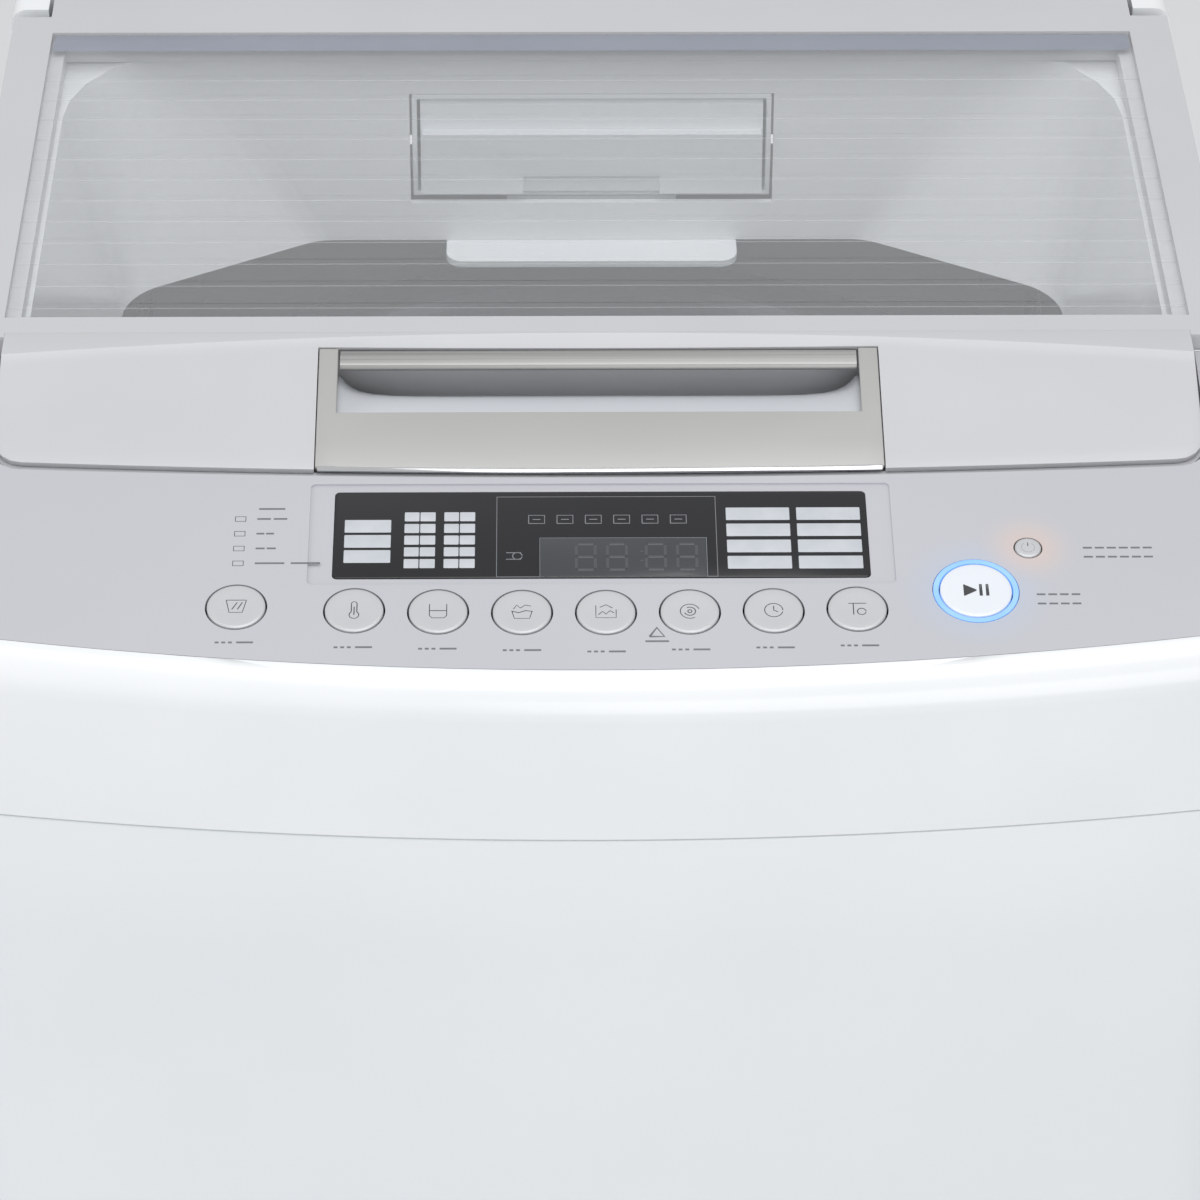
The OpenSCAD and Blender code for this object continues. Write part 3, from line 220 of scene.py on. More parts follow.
def faces_removed(piece, wanted):
    """Deletes the faces that the rule wants."""
    faces_chosen(piece, wanted)
    bpy.ops.mesh.delete(type="FACE")
    bpy.ops.mesh.select_mode(type="VERT")
    bpy.ops.object.mode_set(mode="OBJECT")


def applied(piece, kind, **settings):
    """Adds one modifier with its settings and applies it."""
    only(piece)
    modifier = piece.modifiers.new(kind.lower(), kind)
    for key, value in settings.items():
        setattr(modifier, key, value)
    bpy.ops.object.modifier_apply(modifier=modifier.name)


def finished(piece, material, body, angle=35):
    """Smooth shading, finish, body and material slot of a new piece."""
    piece.data.materials.clear()
    piece.data.materials.append(material)
    only(piece)
    bpy.ops.object.shade_smooth_by_angle(angle=math.radians(angle))
    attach(piece, body)
    return piece


cabinet_low, cabinet_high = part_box("cabinet")
casing_half = cabinet_high.x
casing_front = cabinet_low.y
casing_bow = (casing_half ** 2 + (22 * mm) ** 2) / (2 * 22 * mm)
sheet_steel = 1 * mm


def cabinet_loop(inset, height):
    points = bowed_outline(casing_half - inset, casing_front + inset, casing_bow - inset,
                           30 * mm - inset, cabinet_high.y - inset, 6 * mm - min(inset, 4 * mm))
    return [(x, y, height) for x, y in points]


cabinet_shell = loop_of("cabinet_shell", cabinet_loop(14 * mm, cabinet_low.z + sheet_steel))
hems = ((2, 1), (0.6, 1.4), (0, 2.6), (0, 60), (0, -60), (0, -2.6), (0.6, -1.2), (2, -0.5), (15, -0.5))
for inset, height in hems:
    base = cabinet_low.z if height > 0 else cabinet_high.z
    pulled(cabinet_shell, cabinet_loop(inset * mm, base + height * mm))
# The back is open between the two rear flanges, where the rear cover goes.
faces_removed(cabinet_shell, lambda face: face.center.y > cabinet_high.y - 20 * mm
              and abs(face.center.x) < casing_half - 20 * mm)
facing_out(cabinet_shell)
applied(cabinet_shell, "SOLIDIFY", thickness=sheet_steel, offset=-1)
enamel_white = enamelled("baked white enamel on steel", "#e3e7ea", "#eef1f3")
finished(cabinet_shell, enamel_white, "casing", 40)
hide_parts("cabinet")


# ---- Rear cover and its screws ----
# A pressed steel panel with two long swages, held to the cabinet's flanges by eight pan head screws
# with a cross recess. The enamel is greyer and duller than the cabinet's.

softening = bpy.data.node_groups.new("smooth faces and sharp folds", "GeometryNodeTree")
softening.interface.new_socket("Geometry", in_out="INPUT", socket_type="NodeSocketGeometry")
softening.interface.new_socket("Geometry", in_out="OUTPUT", socket_type="NodeSocketGeometry")
rough_part = put(softening, "NodeGroupInput", {})
all_smooth = put(softening, "GeometryNodeSetShadeSmooth", {"domain": "FACE"}, Geometry=(rough_part, 0))
fold = put(softening, "GeometryNodeInputMeshEdgeAngle", {})
is_sharp = put(softening, "FunctionNodeCompare", {"data_type": "FLOAT", "operation": "GREATER_THAN"})
is_sharp.inputs[1].default_value = math.radians(35)
softening.links.new(fold.outputs[0], is_sharp.inputs[0])
creased = put(softening, "GeometryNodeSetShadeSmooth", {"domain": "EDGE", "Shade Smooth": False},
              Geometry=(all_smooth, 0), Selection=(is_sharp, 0))
put(softening, "NodeGroupOutput", {}, Geometry=(creased, 0))


def dressed(node, material, edge_mm=0.4):
    """Gives a CAD node its finish, and modifiers that soften its edges as moulding or pressing does."""
    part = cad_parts[node]
    for place in part.material_slots:
        place.link = "OBJECT"
        place.material = material
    weld = part.modifiers.new("joined triangles", "WELD")
    weld.merge_threshold = 0.00001
    flats = part.modifiers.new("whole flats", "DECIMATE")
    flats.decimate_type = "DISSOLVE"
    flats.angle_limit = math.radians(0.03)
    shading = part.modifiers.new("shading", "NODES")
    shading.node_group = softening
    if edge_mm:
        edge = part.modifiers.new("eased edges", "BEVEL")
        edge.width = edge_mm * mm
        edge.segments = 2
        edge.limit_method = "ANGLE"
        edge.angle_limit = math.radians(35)
        edge.use_clamp_overlap = True
        edge.harden_normals = True
    return part


def plated(name, colour, rough_low, rough_high):
    """Zinc plated or bare steel: a metal with fine mottling from the bath or the rolling."""
    return surfaced(name, colour, "#d9dbdc", 22, 0.9, 0.02, rough_low, rough_high, Metallic=1.0)


rear_enamel = enamelled("dull grey enamel on steel", "#c6c9cc", "#d0d3d5")
dressed("rear_cover", rear_enamel, 0.3)
zinc_plate = plated("zinc plated steel", "#b4b7ba", 0.28, 0.42)


def streaked(name, density, dark, light, rough_low, rough_high):
    """Drawn or brushed metal: streaks of tone and gloss, with so many per metre along each axis."""
    material, tree, surface, place = started(name, Metallic=1.0)
    way = put(tree, "ShaderNodeMapping", {"Scale": density}, Vector=(place, "Object"))
    lines = put(tree, "ShaderNodeTexNoise", {"Scale": 1.0, "Detail": 3.0}, Vector=(way, 0))
    tone = put(tree, "ShaderNodeMixRGB", {"Color1": linear(dark), "Color2": linear(light)}, Fac=(lines, 0))
    gloss = put(tree, "ShaderNodeMapRange", {"To Min": rough_low, "To Max": rough_high}, Value=(lines, 0))
    tree.links.new(tone.outputs[0], surface.inputs["Base Color"])
    tree.links.new(gloss.outputs[0], surface.inputs["Roughness"])
    return material


def turned(name, profile, steps=48):
    """Spins a closed profile of (radius, height) in millimetres about the Z axis."""
    piece = loop_of(name, [(r * mm, 0, z * mm) for r, z in profile])
    bpy.ops.object.mode_set(mode="EDIT")
    bpy.ops.mesh.select_all(action="SELECT")
    bpy.ops.mesh.spin(steps=steps, angle=2 * math.pi, center=(0, 0, 0), axis=(0, 0, 1))
    bpy.ops.object.mode_set(mode="OBJECT")
    facing_out(piece)
    return piece


def joined(name, pieces):
    """One piece from several."""
    bpy.ops.object.select_all(action="DESELECT")
    for part in pieces:
        part.select_set(True)
    bpy.context.view_layer.objects.active = pieces[0]
    if len(pieces) > 1:
        bpy.ops.object.join()
    pieces[0].name = pieces[0].data.name = name
    return pieces[0]


def copied(piece, places):
    """Copies of a piece, each with its own mesh, at each of the places; the first keeps the original."""
    made = []
    for place in places:
        twin = piece.copy()
        twin.data = piece.data.copy()
        bpy.context.collection.objects.link(twin)
        twin.data.transform(place)
        made.append(twin)
    bpy.data.objects.remove(piece, do_unlink=True)
    return made


screw_low, screw_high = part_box("rear_cover_screws")
screw = turned("cover_screw", [(0, -0.8), (1.9, -0.8), (1.9, 0.1), (4.4, 0.1), (4.5, 0.5), (3.9, 1.5),
                               (2.6, 2.0), (1.0, 2.05), (0.5, 1.2), (0, 1.2)], 24)
slot_arm = [(0.35, 0.9), (0.9, 0.35), (2.4, 0.3), (2.4, -0.3), (0.9, -0.35), (0.35, -0.9)]
cross = [p for k in range(4) for p in [(x * math.cos(k * math.pi / 2) + y * math.sin(k * math.pi / 2),
                                        y * math.cos(k * math.pi / 2) - x * math.sin(k * math.pi / 2))
                                       for x, y in slot_arm]]
recess = loop_of("cross_recess", [(x * mm, y * mm, 1.0 * mm) for x, y in cross])
pulled(recess, [(x * mm, y * mm, 3.0 * mm) for x, y in cross])
for rim_height in (1.0, 3.0):
    bpy.ops.object.select_all(action="DESELECT")
    recess.select_set(True)
    bpy.context.view_layer.objects.active = recess
    for corner in recess.data.vertices:
        corner.select = abs(corner.co.z - rim_height * mm) < 0.0001
    for edge in recess.data.edges:
        edge.select = all(recess.data.vertices[v].select for v in edge.vertices)
    capped()
facing_out(recess)
applied(screw, "BOOLEAN", object=recess, operation="DIFFERENCE", solver="EXACT")
bpy.data.objects.remove(recess, do_unlink=True)
screw_seat = screw_low.y + 1 * mm
facing_rear = Matrix.Rotation(-math.pi / 2, 4, "X")
screw_rows = [screw_low.z + 4.5 * mm + k * (screw_high.z - screw_low.z - 9 * mm) / 3 for k in range(4)]
screws = copied(screw, [Matrix.Translation((side * (screw_high.x - 4.5 * mm), screw_seat, row)) @ facing_rear
                        for side in (-1, 1) for row in screw_rows])
cover_screws = joined("cover_screws", screws)
finished(cover_screws, zinc_plate, "casing")
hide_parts("rear_cover_screws")


# ---- Base frame, feet and lock nuts ----
# The base is a moulded channel in fine-grained grey polypropylene. Each foot is a ribbed rubber pad
# on a threaded steel stem, and a zinc plated nut locks it under the base.

def moulded(name, dark, light, grain_mm, relief_mm, rough_low, rough_high, coat=0.0):
    """Moulded plastic: even colour, with the grain or the flow marks of its tool."""
    return surfaced(name, dark, light, 90, grain_mm, relief_mm, rough_low, rough_high,
                    IOR=1.49, Coat_Weight=coat, Coat_Roughness=0.12)


base_plastic = moulded("fine-grained grey polypropylene", "#bcbfc1", "#c8cbcc", 0.8, 0.06, 0.50, 0.62)
dressed("base_frame", base_plastic, 0.6)
dressed("foot_lock_nuts", zinc_plate, 0.4)
pad_rubber = moulded("moulded foot rubber", "#1d1d1f", "#262628", 0.7, 0.08, 0.62, 0.78)

stem_profile = [(0, 12), (4.3, 12)]
for turn in range(36):
    stem_profile += [(4.3, 13 + turn * 1.6), (4.95, 13.8 + turn * 1.6)]
stem_profile += [(4.3, 71), (0, 71)]
foot_pad = [(0, 0), (15, 0), (15.6, 0.8), (17, 0.8), (17.6, 0), (19.4, 0), (20, 0.8), (19.6, 2.4),
            (18.6, 3.0), (18.4, 4.6), (17.6, 5.2), (17.2, 7.4), (16.2, 8), (12, 8.2), (11.6, 12.6),
            (10.8, 13), (0, 13)]
for corner_name in ("front_left", "front_right", "rear_left", "rear_right"):
    foot_low, foot_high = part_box("foot_" + corner_name)
    under = Matrix.Translation(((foot_low.x + foot_high.x) / 2, (foot_low.y + foot_high.y) / 2, foot_low.z))
    pad = turned("pad_" + corner_name, foot_pad, 48)
    pad.data.transform(under)
    finished(pad, pad_rubber, "foot_" + corner_name)
    stem = turned("stem_" + corner_name, stem_profile, 20)
    stem.data.transform(under)
    finished(stem, zinc_plate, "foot_" + corner_name)
    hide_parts("foot_" + corner_name)


# ---- Top cover ----
# One glossy white ABS moulding: the rounded front, the side rails, the basin that leads down to the
# drum and the rear deck with its valve recess.

gloss_white = moulded("glossy white ABS", "#e9ecee", "#f2f4f6", 6.0, 0.03, 0.20, 0.27, 0.4)
dressed("top_cover", gloss_white, 1.0)


# ---- Control panel ----
# A thin ABS plate in satin silver paint, set flush in the top cover. Round the start key the blue light of
# its lamp is painted into the paint's colour as a glow, and round the power key the orange light of its
# lamp.

slope = math.radians(9.6)
along = Vector((0, math.cos(slope), math.sin(slope)))
outward = Vector((0, -math.sin(slope), math.cos(slope)))
panel_low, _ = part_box("control_panel")
panel_origin = Vector((0, panel_low.y, panel_low.z + 3 * mm))


def on_panel(u, v, w=0.0):
    """Matrix that lays a piece on the panel: u and v in millimetres, w above its surface."""
    place = panel_origin + Vector((u * mm, 0, 0)) + along * (v * mm) + outward * (w * mm)
    return Matrix.Translation(place) @ Matrix.Rotation(slope, 4, "X")


def panel_spot(node):
    """A key's place on the panel, from the middle of its CAD solid."""
    low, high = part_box(node)
    offset = (low + high) / 2 - panel_origin
    return offset.x / mm, offset.dot(along) / mm


start_u, start_v = panel_spot("button_start")
power_u, power_v = panel_spot("button_power")


def painted_silver(name, dark, light, painted_lamp_glows=()):
    """Silver paint on plastic: metal flake too fine to see, drawn as 0.4 mm specks under a satin lacquer."""
    material, tree, surface, place = started(name, Metallic=0.25, IOR=1.5, Coat_Weight=0.15,
                                             Coat_Roughness=0.3)
    paint = clouded(tree, surface, place, dark, light, 120)
    flake = put(tree, "ShaderNodeTexVoronoi", {"Scale": 1000 / 0.4}, Vector=(place, "Object"))
    gloss = put(tree, "ShaderNodeMapRange", {"To Min": 0.34, "To Max": 0.46}, Value=(flake, "Distance"))
    relief = put(tree, "ShaderNodeBump", {"Strength": 0.15, "Distance": 0.02 * mm},
                 Height=(flake, "Distance"))
    tree.links.new(gloss.outputs[0], surface.inputs["Roughness"])
    tree.links.new(relief.outputs[0], surface.inputs["Normal"])
    # Painted light: each lamp's glow is painted into the base colour, strongest at the lamp and gone at its
    # reach.
    for u, v, colour, reach_mm in painted_lamp_glows:
        lamp = panel_origin + Vector((u * mm, 0, 0)) + along * (v * mm)
        away = put(tree, "ShaderNodeVectorMath", {"operation": "DISTANCE"}, Vector=(place, "Object"))
        away.inputs[1].default_value = lamp
        painted_glow_fade = put(tree, "ShaderNodeMapRange",
                   {"From Min": 0.0, "From Max": reach_mm * mm, "To Min": 0.5, "To Max": 0.0,
                    "interpolation_type": "SMOOTHSTEP"}, Value=(away, "Value"))
        paint = put(tree, "ShaderNodeMixRGB", {"Color2": linear(colour)}, Fac=(painted_glow_fade, 0), Color1=(paint, 0))
        tree.links.new(paint.outputs[0], surface.inputs["Base Color"])
    return material


# The blue tint round the start key and the orange tint round the power key are painted glows of their lamps.
panel_paint_and_lamp_glow = painted_silver("satin silver paint on ABS with painted lamp glows", "#c3c4ca", "#cbccd2",
                             [(start_u, start_v, "#b4cdf0", 34), (power_u, power_v, "#eccdbb", 22)])
dressed("control_panel", panel_paint_and_lamp_glow, 0.35)


# ---- Display ----
# A smoked acrylic window over the circuit board, with pale label fields printed on its back, a thin
# frame line round the middle and a darker digit module. The fields carry no words.

smoked = surfaced("smoked acrylic", "#17181a", "#26272b", 70, 5.0, 0.004, 0.14, 0.20, IOR=1.49)

display_low, display_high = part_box("display_window")
display_middle = (display_low + display_high) / 2 - panel_origin
display_v = display_middle.dot(along) / mm
display_half = (display_high.x - display_low.x) / 2 / mm
display_depth = 48.0
display_top = -0.6


def rounded_plate(name, half_u, half_v, radius, low, high, edge):
    """A plate with rounded corners and an eased upper edge, in millimetres about its own middle."""
    def corners(inset, height):
        points = []
        for cu, cv, begin in ((1, 1, 0), (-1, 1, 90), (-1, -1, 180), (1, -1, 270)):
            for k in range(7):
                turn = math.radians(begin + 15 * k)
                reach = radius - inset
                points.append(((cu * (half_u - radius) + reach * math.cos(turn)) * mm,
                               (cv * (half_v - radius) + reach * math.sin(turn)) * mm, height * mm))
        return points
    piece = loop_of(name, corners(edge, low))
    bpy.ops.object.mode_set(mode="EDIT")
    bpy.ops.mesh.edge_face_add()
    bpy.ops.mesh.select_all(action="SELECT")
    bpy.ops.object.mode_set(mode="OBJECT")
    pulled(piece, corners(0, low + edge))
    pulled(piece, corners(0, high - edge))
    pulled(piece, corners(0.3 * edge, high - 0.3 * edge))
    pulled(piece, corners(edge, high))
    capped()
    facing_out(piece)
    return piece


display_pane = rounded_plate("display_pane", display_half, display_depth / 2, 2.0, -2.8, display_top, 0.3)
display_pane.data.transform(on_panel(0, display_v))
finished(display_pane, smoked, "casing", 30)
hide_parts("display_window")


def field(left, right, low, high, height=0.06, above=0.0):
    """One printed field on the panel, between two u and two v positions in millimetres."""
    print_piece = rounded_plate("field", (right - left) / 2, (high - low) / 2, 0.4,
                                above, above + height, 0.02)
    print_piece.data.transform(on_panel((left + right) / 2, (low + high) / 2))
    return print_piece


label_print = surfaced("pale grey label print", "#b9bec6", "#d2d6db", 9, 0.8, 0.01, 0.34, 0.42,
                       IOR=1.5, Coat_Weight=0.3)
fields = []
for row in range(3):
    fields.append(field(-102.8, -84.2, 58.4 + row * 8.4, 65.4 + row * 8.4, above=display_top))
for left in (-78.8, -62.9):
    for row in range(5):
        fields.append(field(left, left + 5.9, 55.4 + row * 6.5, 60.4 + row * 6.5, above=display_top))
        fields.append(field(left + 6.3, left + 12.4, 55.4 + row * 6.5, 60.4 + row * 6.5, above=display_top))
for left in (50.4, 78.8):
    for row in range(4):
        fields.append(field(left, left + 25.6, 54.6 + row * 9.0, 61.6 + row * 9.0, above=display_top))
display_fields = joined("display_fields", fields)
finished(display_fields, label_print, "casing")


def wired(name, runs, radius, resolution, closed=()):
    """Round wire of that radius along each run of (x, y, z), as one mesh."""
    drawn = bpy.data.curves.new(name, "CURVE")
    drawn.dimensions = "3D"
    drawn.bevel_depth = radius
    drawn.bevel_resolution = resolution
    drawn.use_fill_caps = True
    for number, run in enumerate(runs):
        spline = drawn.splines.new("POLY")
        spline.points.add(len(run) - 1)
        for point, spot in zip(spline.points, run):
            point.co = (*spot, 1)
        spline.use_cyclic_u = number in closed
    piece = bpy.data.objects.new(name, drawn)
    bpy.context.collection.objects.link(piece)
    only(piece)
    bpy.ops.object.convert(target="MESH")
    return bpy.context.object


def stroked(name, strokes, width, above=0.0, closed=()):
    """Printed lines on the panel: each stroke is a run of (u, v) in millimetres."""
    runs = [[(u * mm, v * mm, 0) for u, v in stroke] for stroke in strokes]
    piece = wired(name, runs, width / 2 * mm, 1, closed)
    piece.data.transform(Matrix.Diagonal((1, 1, 0.24, 1)))
    piece.data.transform(Matrix.Translation((0, 0, above * mm)))
    return piece


def round_stroke(u, v, radius, begin=0, end=360, steps=28):
    count = steps if end - begin == 360 else steps + 1
    turns = [math.radians(begin + (end - begin) * k / steps) for k in range(count)]
    return [(u + radius * math.cos(t), v + radius * math.sin(t)) for t in turns]


middle_frame = stroked("display_frame_line", [[(-41.8, 50.5), (-41.8, 95), (46.3, 95), (46.3, 50.5)],
                                              [(-24.5, 50.5), (-24.5, 71.9), (42.2, 71.9), (42.2, 50.5)]],
                       0.35, display_top, closed=(0, 1))
middle_frame.data.transform(on_panel(0, 0))
ash_print = moulded("dim grey print", "#7c7f84", "#8b8e93", 2.0, 0.01, 0.40, 0.48)
finished(middle_frame, ash_print, "casing")
digit_module = field(-24.2, 41.9, 50.8, 71.6, 0.03, display_top)
digit_glass = moulded("dark digit glass", "#36383c", "#3f4145", 8.0, 0.01, 0.20, 0.28, 0.4)
finished(digit_module, digit_glass, "casing").name = "digit_module"
segments = [((0.8, v), (6.8, v)) for v in (54.4, 61.4, 68.4)]
segments += [((u, v), (u, v + 5.4)) for u in (0, 7.6) for v in (55.2, 62.2)]
unlit = []
for place in range(4):
    left = -10 + place * 12.5 + (3 if place > 1 else 0)
    unlit += [[(left + u, v) for u, v in bar] for bar in segments]
unlit += [[(16.2, 58.6), (16.2, 59.6)], [(16.2, 63.6), (16.2, 64.6)]]
digits = stroked("unlit_digits", unlit, 1.2, display_top + 0.03)
digits.data.transform(on_panel(0, 0))
digit_bars = moulded("unlit digit bars", "#4a4c51", "#54565b", 3.0, 0.01, 0.30, 0.40)
finished(digits, digit_bars, "casing")

symbols = [[(-38, 60.2), (-32, 60.2)], [(-38, 63.8), (-32, 63.8)], round_stroke(-33.5, 62, 1.9)]
for k in range(6):
    left = -29 + k * 11.4
    symbols += [[(left, 80), (left + 6.4, 80), (left + 6.4, 84.6), (left, 84.6), (left, 80)],
                [(left + 1.6, 82.3), (left + 4.8, 82.3)]]
display_symbols = stroked("display_symbols", symbols, 0.4, display_top)
display_symbols.data.transform(on_panel(0, 0))
finished(display_symbols, ash_print, "casing")


# ---- Keys ----
# Eight round keys, the larger start key and the small power key, all moulded with a faint dish and
# painted like the panel. Each carries a plain printed pictogram.

key_paint = painted_silver("pearl silver key paint", "#c5c6c9", "#cdced1")
pearl_white = moulded("pearl white key", "#e4e9f1", "#eef2f8", 1.5, 0.01, 0.26, 0.34, 0.3)
ink = moulded("dark grey ink", "#3c3d42", "#4a4b50", 1.5, 0.01, 0.42, 0.55)
pale_ink = moulded("mid grey ink", "#6a6c72", "#787a80", 1.5, 0.01, 0.42, 0.55)

pictograms = {
    "button_program": [[(-4, 3.4), (-2.6, -3.2), (2.6, -3.2), (4, 3.4)], [(-4, 3.4), (4, 3.4)],
                       [(-1.6, -1.6), (0.4, 2.2)], [(0.6, -1.6), (2.4, 2.2)]],
    "button_temperature": [round_stroke(0, -2.6, 1.9, 125, 415), [(-1.1, -1.0), (-1.1, 3.4)],
                           [(1.1, -1.0), (1.1, 3.4)], round_stroke(0, 3.4, 1.1, 0, 180, 8),
                           [(0, -2.6), (0, 1.8)]],
    "button_water_level": [[(-3.4, 3.8), (-3.4, -2.4), (-2.4, -3.6), (2.4, -3.6), (3.4, -2.4), (3.4, 3.8)],
                           [(-3.4, 0.3), (3.4, 0.3)]],
    "button_wash": [[(-4, 0.4), (-3, -3.6), (3, -3.6), (4, 0.4)],
                    [(-4.2, 0.4), (-1.4, -0.5), (1.4, 0.6), (4.2, 0.2)],
                    [(-3.4, 1.4), (-2.2, 3.6), (-0.6, 2.0), (1.2, 3.6), (3.6, 3.0)]],
    "button_rinse": [[(-4, 3.4), (-4, -3.2), (4, -3.2), (4, 1.2)],
                     [(-3.0, -1.6), (-1.4, 0.2), (0, -1.2), (1.6, 0.6), (3.2, -0.6)],
                     [(-2.4, 2.4), (0, 3.8), (2.6, 2.0)]],
    "button_spin": [round_stroke(0, 0, 3.8, 20, 300), round_stroke(0, 0, 2.2, 200, 480),
                    round_stroke(0, 0, 0.8)],
    "button_delay": [round_stroke(0, 0, 3.6), [(0, 2.2), (0, 0), (1.7, -0.9)]],
    "button_option": [[(-3.6, 2.8), (3.6, 2.8)], [(-1.6, 2.8), (-1.6, -3.4)], round_stroke(1.6, -1.6, 1.7)],
}


def key_built(key, profile, stalk_radius, steps, paint, strokes, line, height):
    """One key: a turned cap with its stalk, and the printed strokes on top."""
    u, v = panel_spot(key)
    short = key[7:]
    cap = turned("cap_" + short, [(0, -5)] + profile, steps)
    foot = stalk_radius - 0.2
    stalk = turned("stalk", [(0, -6.6), (foot, -6.6), (stalk_radius, -6.3), (stalk_radius, -4.9), (0, -4.9)],
                   20 if stalk_radius < 3 else 24)
    cap = joined("cap_" + short, [cap, stalk])
    cap.data.transform(on_panel(u, v))
    finished(cap, paint, key, 30)
    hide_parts(key)
    mark = stroked("mark_" + short, strokes, line, height)
    mark.data.transform(on_panel(u, v))
    finished(mark, ink, key)


round_cap = [(11.6, -5), (11.6, -0.4), (11.45, 0.1), (11.0, 0.42), (10.3, 0.5), (7.5, 0.34), (0, 0.28)]
for key, strokes in pictograms.items():
    key_built(key, round_cap, 4.8, 72, key_paint, strokes, 0.42, 0.3)
triangle = [[(-4.6 + 0.55 * k, -3.0 + 0.32 * k), (-4.6 + 0.55 * k, 3.0 - 0.32 * k)] for k in range(9)]
pause = [[(u, -3.0), (u, 3.0), (u + 0.6, 3.0), (u + 0.6, -3.0)] for u in (1.6, 4.2)]
start_profile = [(14.3, -5), (14.3, -0.3), (14.1, 0.25), (13.6, 0.5), (12.6, 0.58), (9, 0.42), (0, 0.36)]
key_built("button_start", start_profile, 5.8, 80, pearl_white, triangle + pause, 0.7, 0.42)
power_profile = [(5.3, -5), (5.3, -0.3), (5.1, 0.2), (4.7, 0.45), (4.0, 0.5), (0, 0.4)]
power_sign = [[(0, 0.8), (0, 4.0)], round_stroke(0, 0, 2.7, 125, 415)]
key_built("button_power", power_profile, 2.2, 48, key_paint, power_sign, 0.45, 0.42)

lamp_ring = surfaced("translucent blue light guide", "#7fb2ea", "#a9ccf4", 12, 1.2, 0.02, 0.30, 0.40,
                     IOR=1.49, Emission_Color=linear("#78b4ff"), Emission_Strength=0.3)
dressed("start_light_ring", lamp_ring, 0.3)


# ---- Lamps and printed marks ----
# Four small lamps with their marks on the left, plain bars under the keys where words would be, and
# a lamp triangle between two keys. Screen printed on the silver paint.

lamps = []
for k in range(4):
    v = 56.5 + k * 8.2
    lamps.append([(-146.8, v), (-142.6, v), (-142.6, v + 2.6), (-146.8, v + 2.6)])
lamp_marks = stroked("lamp_marks", lamps, 0.4, 0.0, closed=range(4))
lamp_marks.data.transform(on_panel(0, 0))
finished(lamp_marks, ink, "casing")
notes = []
for k, length in enumerate((26, 8, 7, 12)):
    v = 57.8 + k * 8.2
    notes += [[(-138, v), (-138 + length * 0.45, v)], [(-138 + length * 0.55, v), (-138 + length, v)]]
notes += [[(-137.5, 88), (-127, 88)]]
for key in pictograms:
    u, v = panel_spot(key)
    v_note = 15 if key == "button_program" else 9.5 + abs(u) * 0.028
    notes += [[(u - 7.5 + 2.6 * k, v_note), (u - 6.0 + 2.6 * k, v_note)] for k in range(3)]
    notes += [[(u + 0.9, v_note), (u + 7.5, v_note)]]
for line in range(2):
    for left, pitch, length, first, count in (
            (start_u + 24, 4.6, 3.4, 39.5, 4), (power_u + 22, 4.8, 3.6, 65, 6)):
        v = first - 5 * line
        notes += [[(left + pitch * k, v), (left + length + pitch * k, v)] for k in range(count)]
notes += [[(18.5, 17.4), (24.3, 17.4), (21.4, 22.2), (18.5, 17.4)], [(16.8, 14.9), (26, 14.9)]]
printed_bars = stroked("printed_bars", notes, 1.0, 0.0)
printed_bars.data.transform(on_panel(0, 0))
finished(printed_bars, pale_ink, "casing")


# ---- Lid frame ----
# A hollow ABS moulding in satin light grey. It carries the window, and its front tray carries the
# sloped cover and the handle.

lid_plastic = moulded("satin light grey ABS", "#c2c3c6", "#cccdd0", 1.1, 0.03, 0.32, 0.40, 0.15)
dressed("lid_frame", lid_plastic, 0.8)


# ---- Sloped front cover of the lid ----
# A thin moulding over the tray, open in the middle for the handle. Its rear crease bows back in the
# middle, so the slope is a little steeper at both ends.

cover_low, cover_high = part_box("lid_front_cover")
_, bezel_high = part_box("handle_bezel")
rise = math.tan(math.radians(14.27))  # slope of the lid's front section
tray_half = cover_high.x
lid_top = cover_high.z
crease_y = cover_high.y
cover_front = cover_low.y
cover_bow = (tray_half ** 2 + (6 * mm) ** 2) / (2 * 6 * mm)
cover_corner = 12 * mm
bezel_half = bezel_high.x + 0.3 * mm
bezel_rear = bezel_high.y + 0.3 * mm
crease_back, crease_sag, crease_step = 1.2 * mm, 15 * mm, 0.4 * mm


def front_edge(x):
    """Depth of the cover's front edge at one width."""
    bowed = cover_front + cover_bow - math.sqrt(cover_bow ** 2 - x * x)
    into = abs(x) - (tray_half - cover_corner)
    if into > 0:
        start = cover_front + cover_bow - math.sqrt(cover_bow ** 2 - (tray_half - cover_corner) ** 2)
        bowed = start + cover_corner - math.sqrt(max(cover_corner ** 2 - into ** 2, 0))
    return bowed


widths = [0, 30 * mm, 60 * mm, 90 * mm, bezel_half, 140 * mm, 165 * mm, 190 * mm, 212 * mm]
widths += [tray_half - cover_corner + cover_corner * math.sin(math.radians(a))
           for a in (0, 22, 42, 60, 76, 90)]
columns = [-x for x in reversed(widths[1:])] + widths
shares = [0.0, 0.12, 0.35, 0.6, 0.82, None, 1.0, 1.01, 1.06]


def cover_point(x, share):
    """A point of the cover: a share of the way from its front edge to the crease, None beside the handle."""
    y_front = front_edge(x)
    y_crease = crease_y - crease_back - crease_sag * (abs(x) / tray_half) ** 2
    z_front = lid_top + (y_front - crease_y) * rise
    z_crease = lid_top - (crease_step if share is None or share <= 1.0 else 0)
    if share is None:
        y = bezel_rear if abs(x) < 130 * mm else y_front + 0.9 * (y_crease - y_front)
    elif share > 1.01:
        y = crease_y
    else:
        y = y_front + min(share, 1.0) * (y_crease - y_front) + (0.5 * mm if share > 1.0 else 0)
    climbed = min((y - y_front) / max(y_crease - y_front, 1e-6), 1.0)
    return x, y, z_front + (z_crease - z_front) * climbed


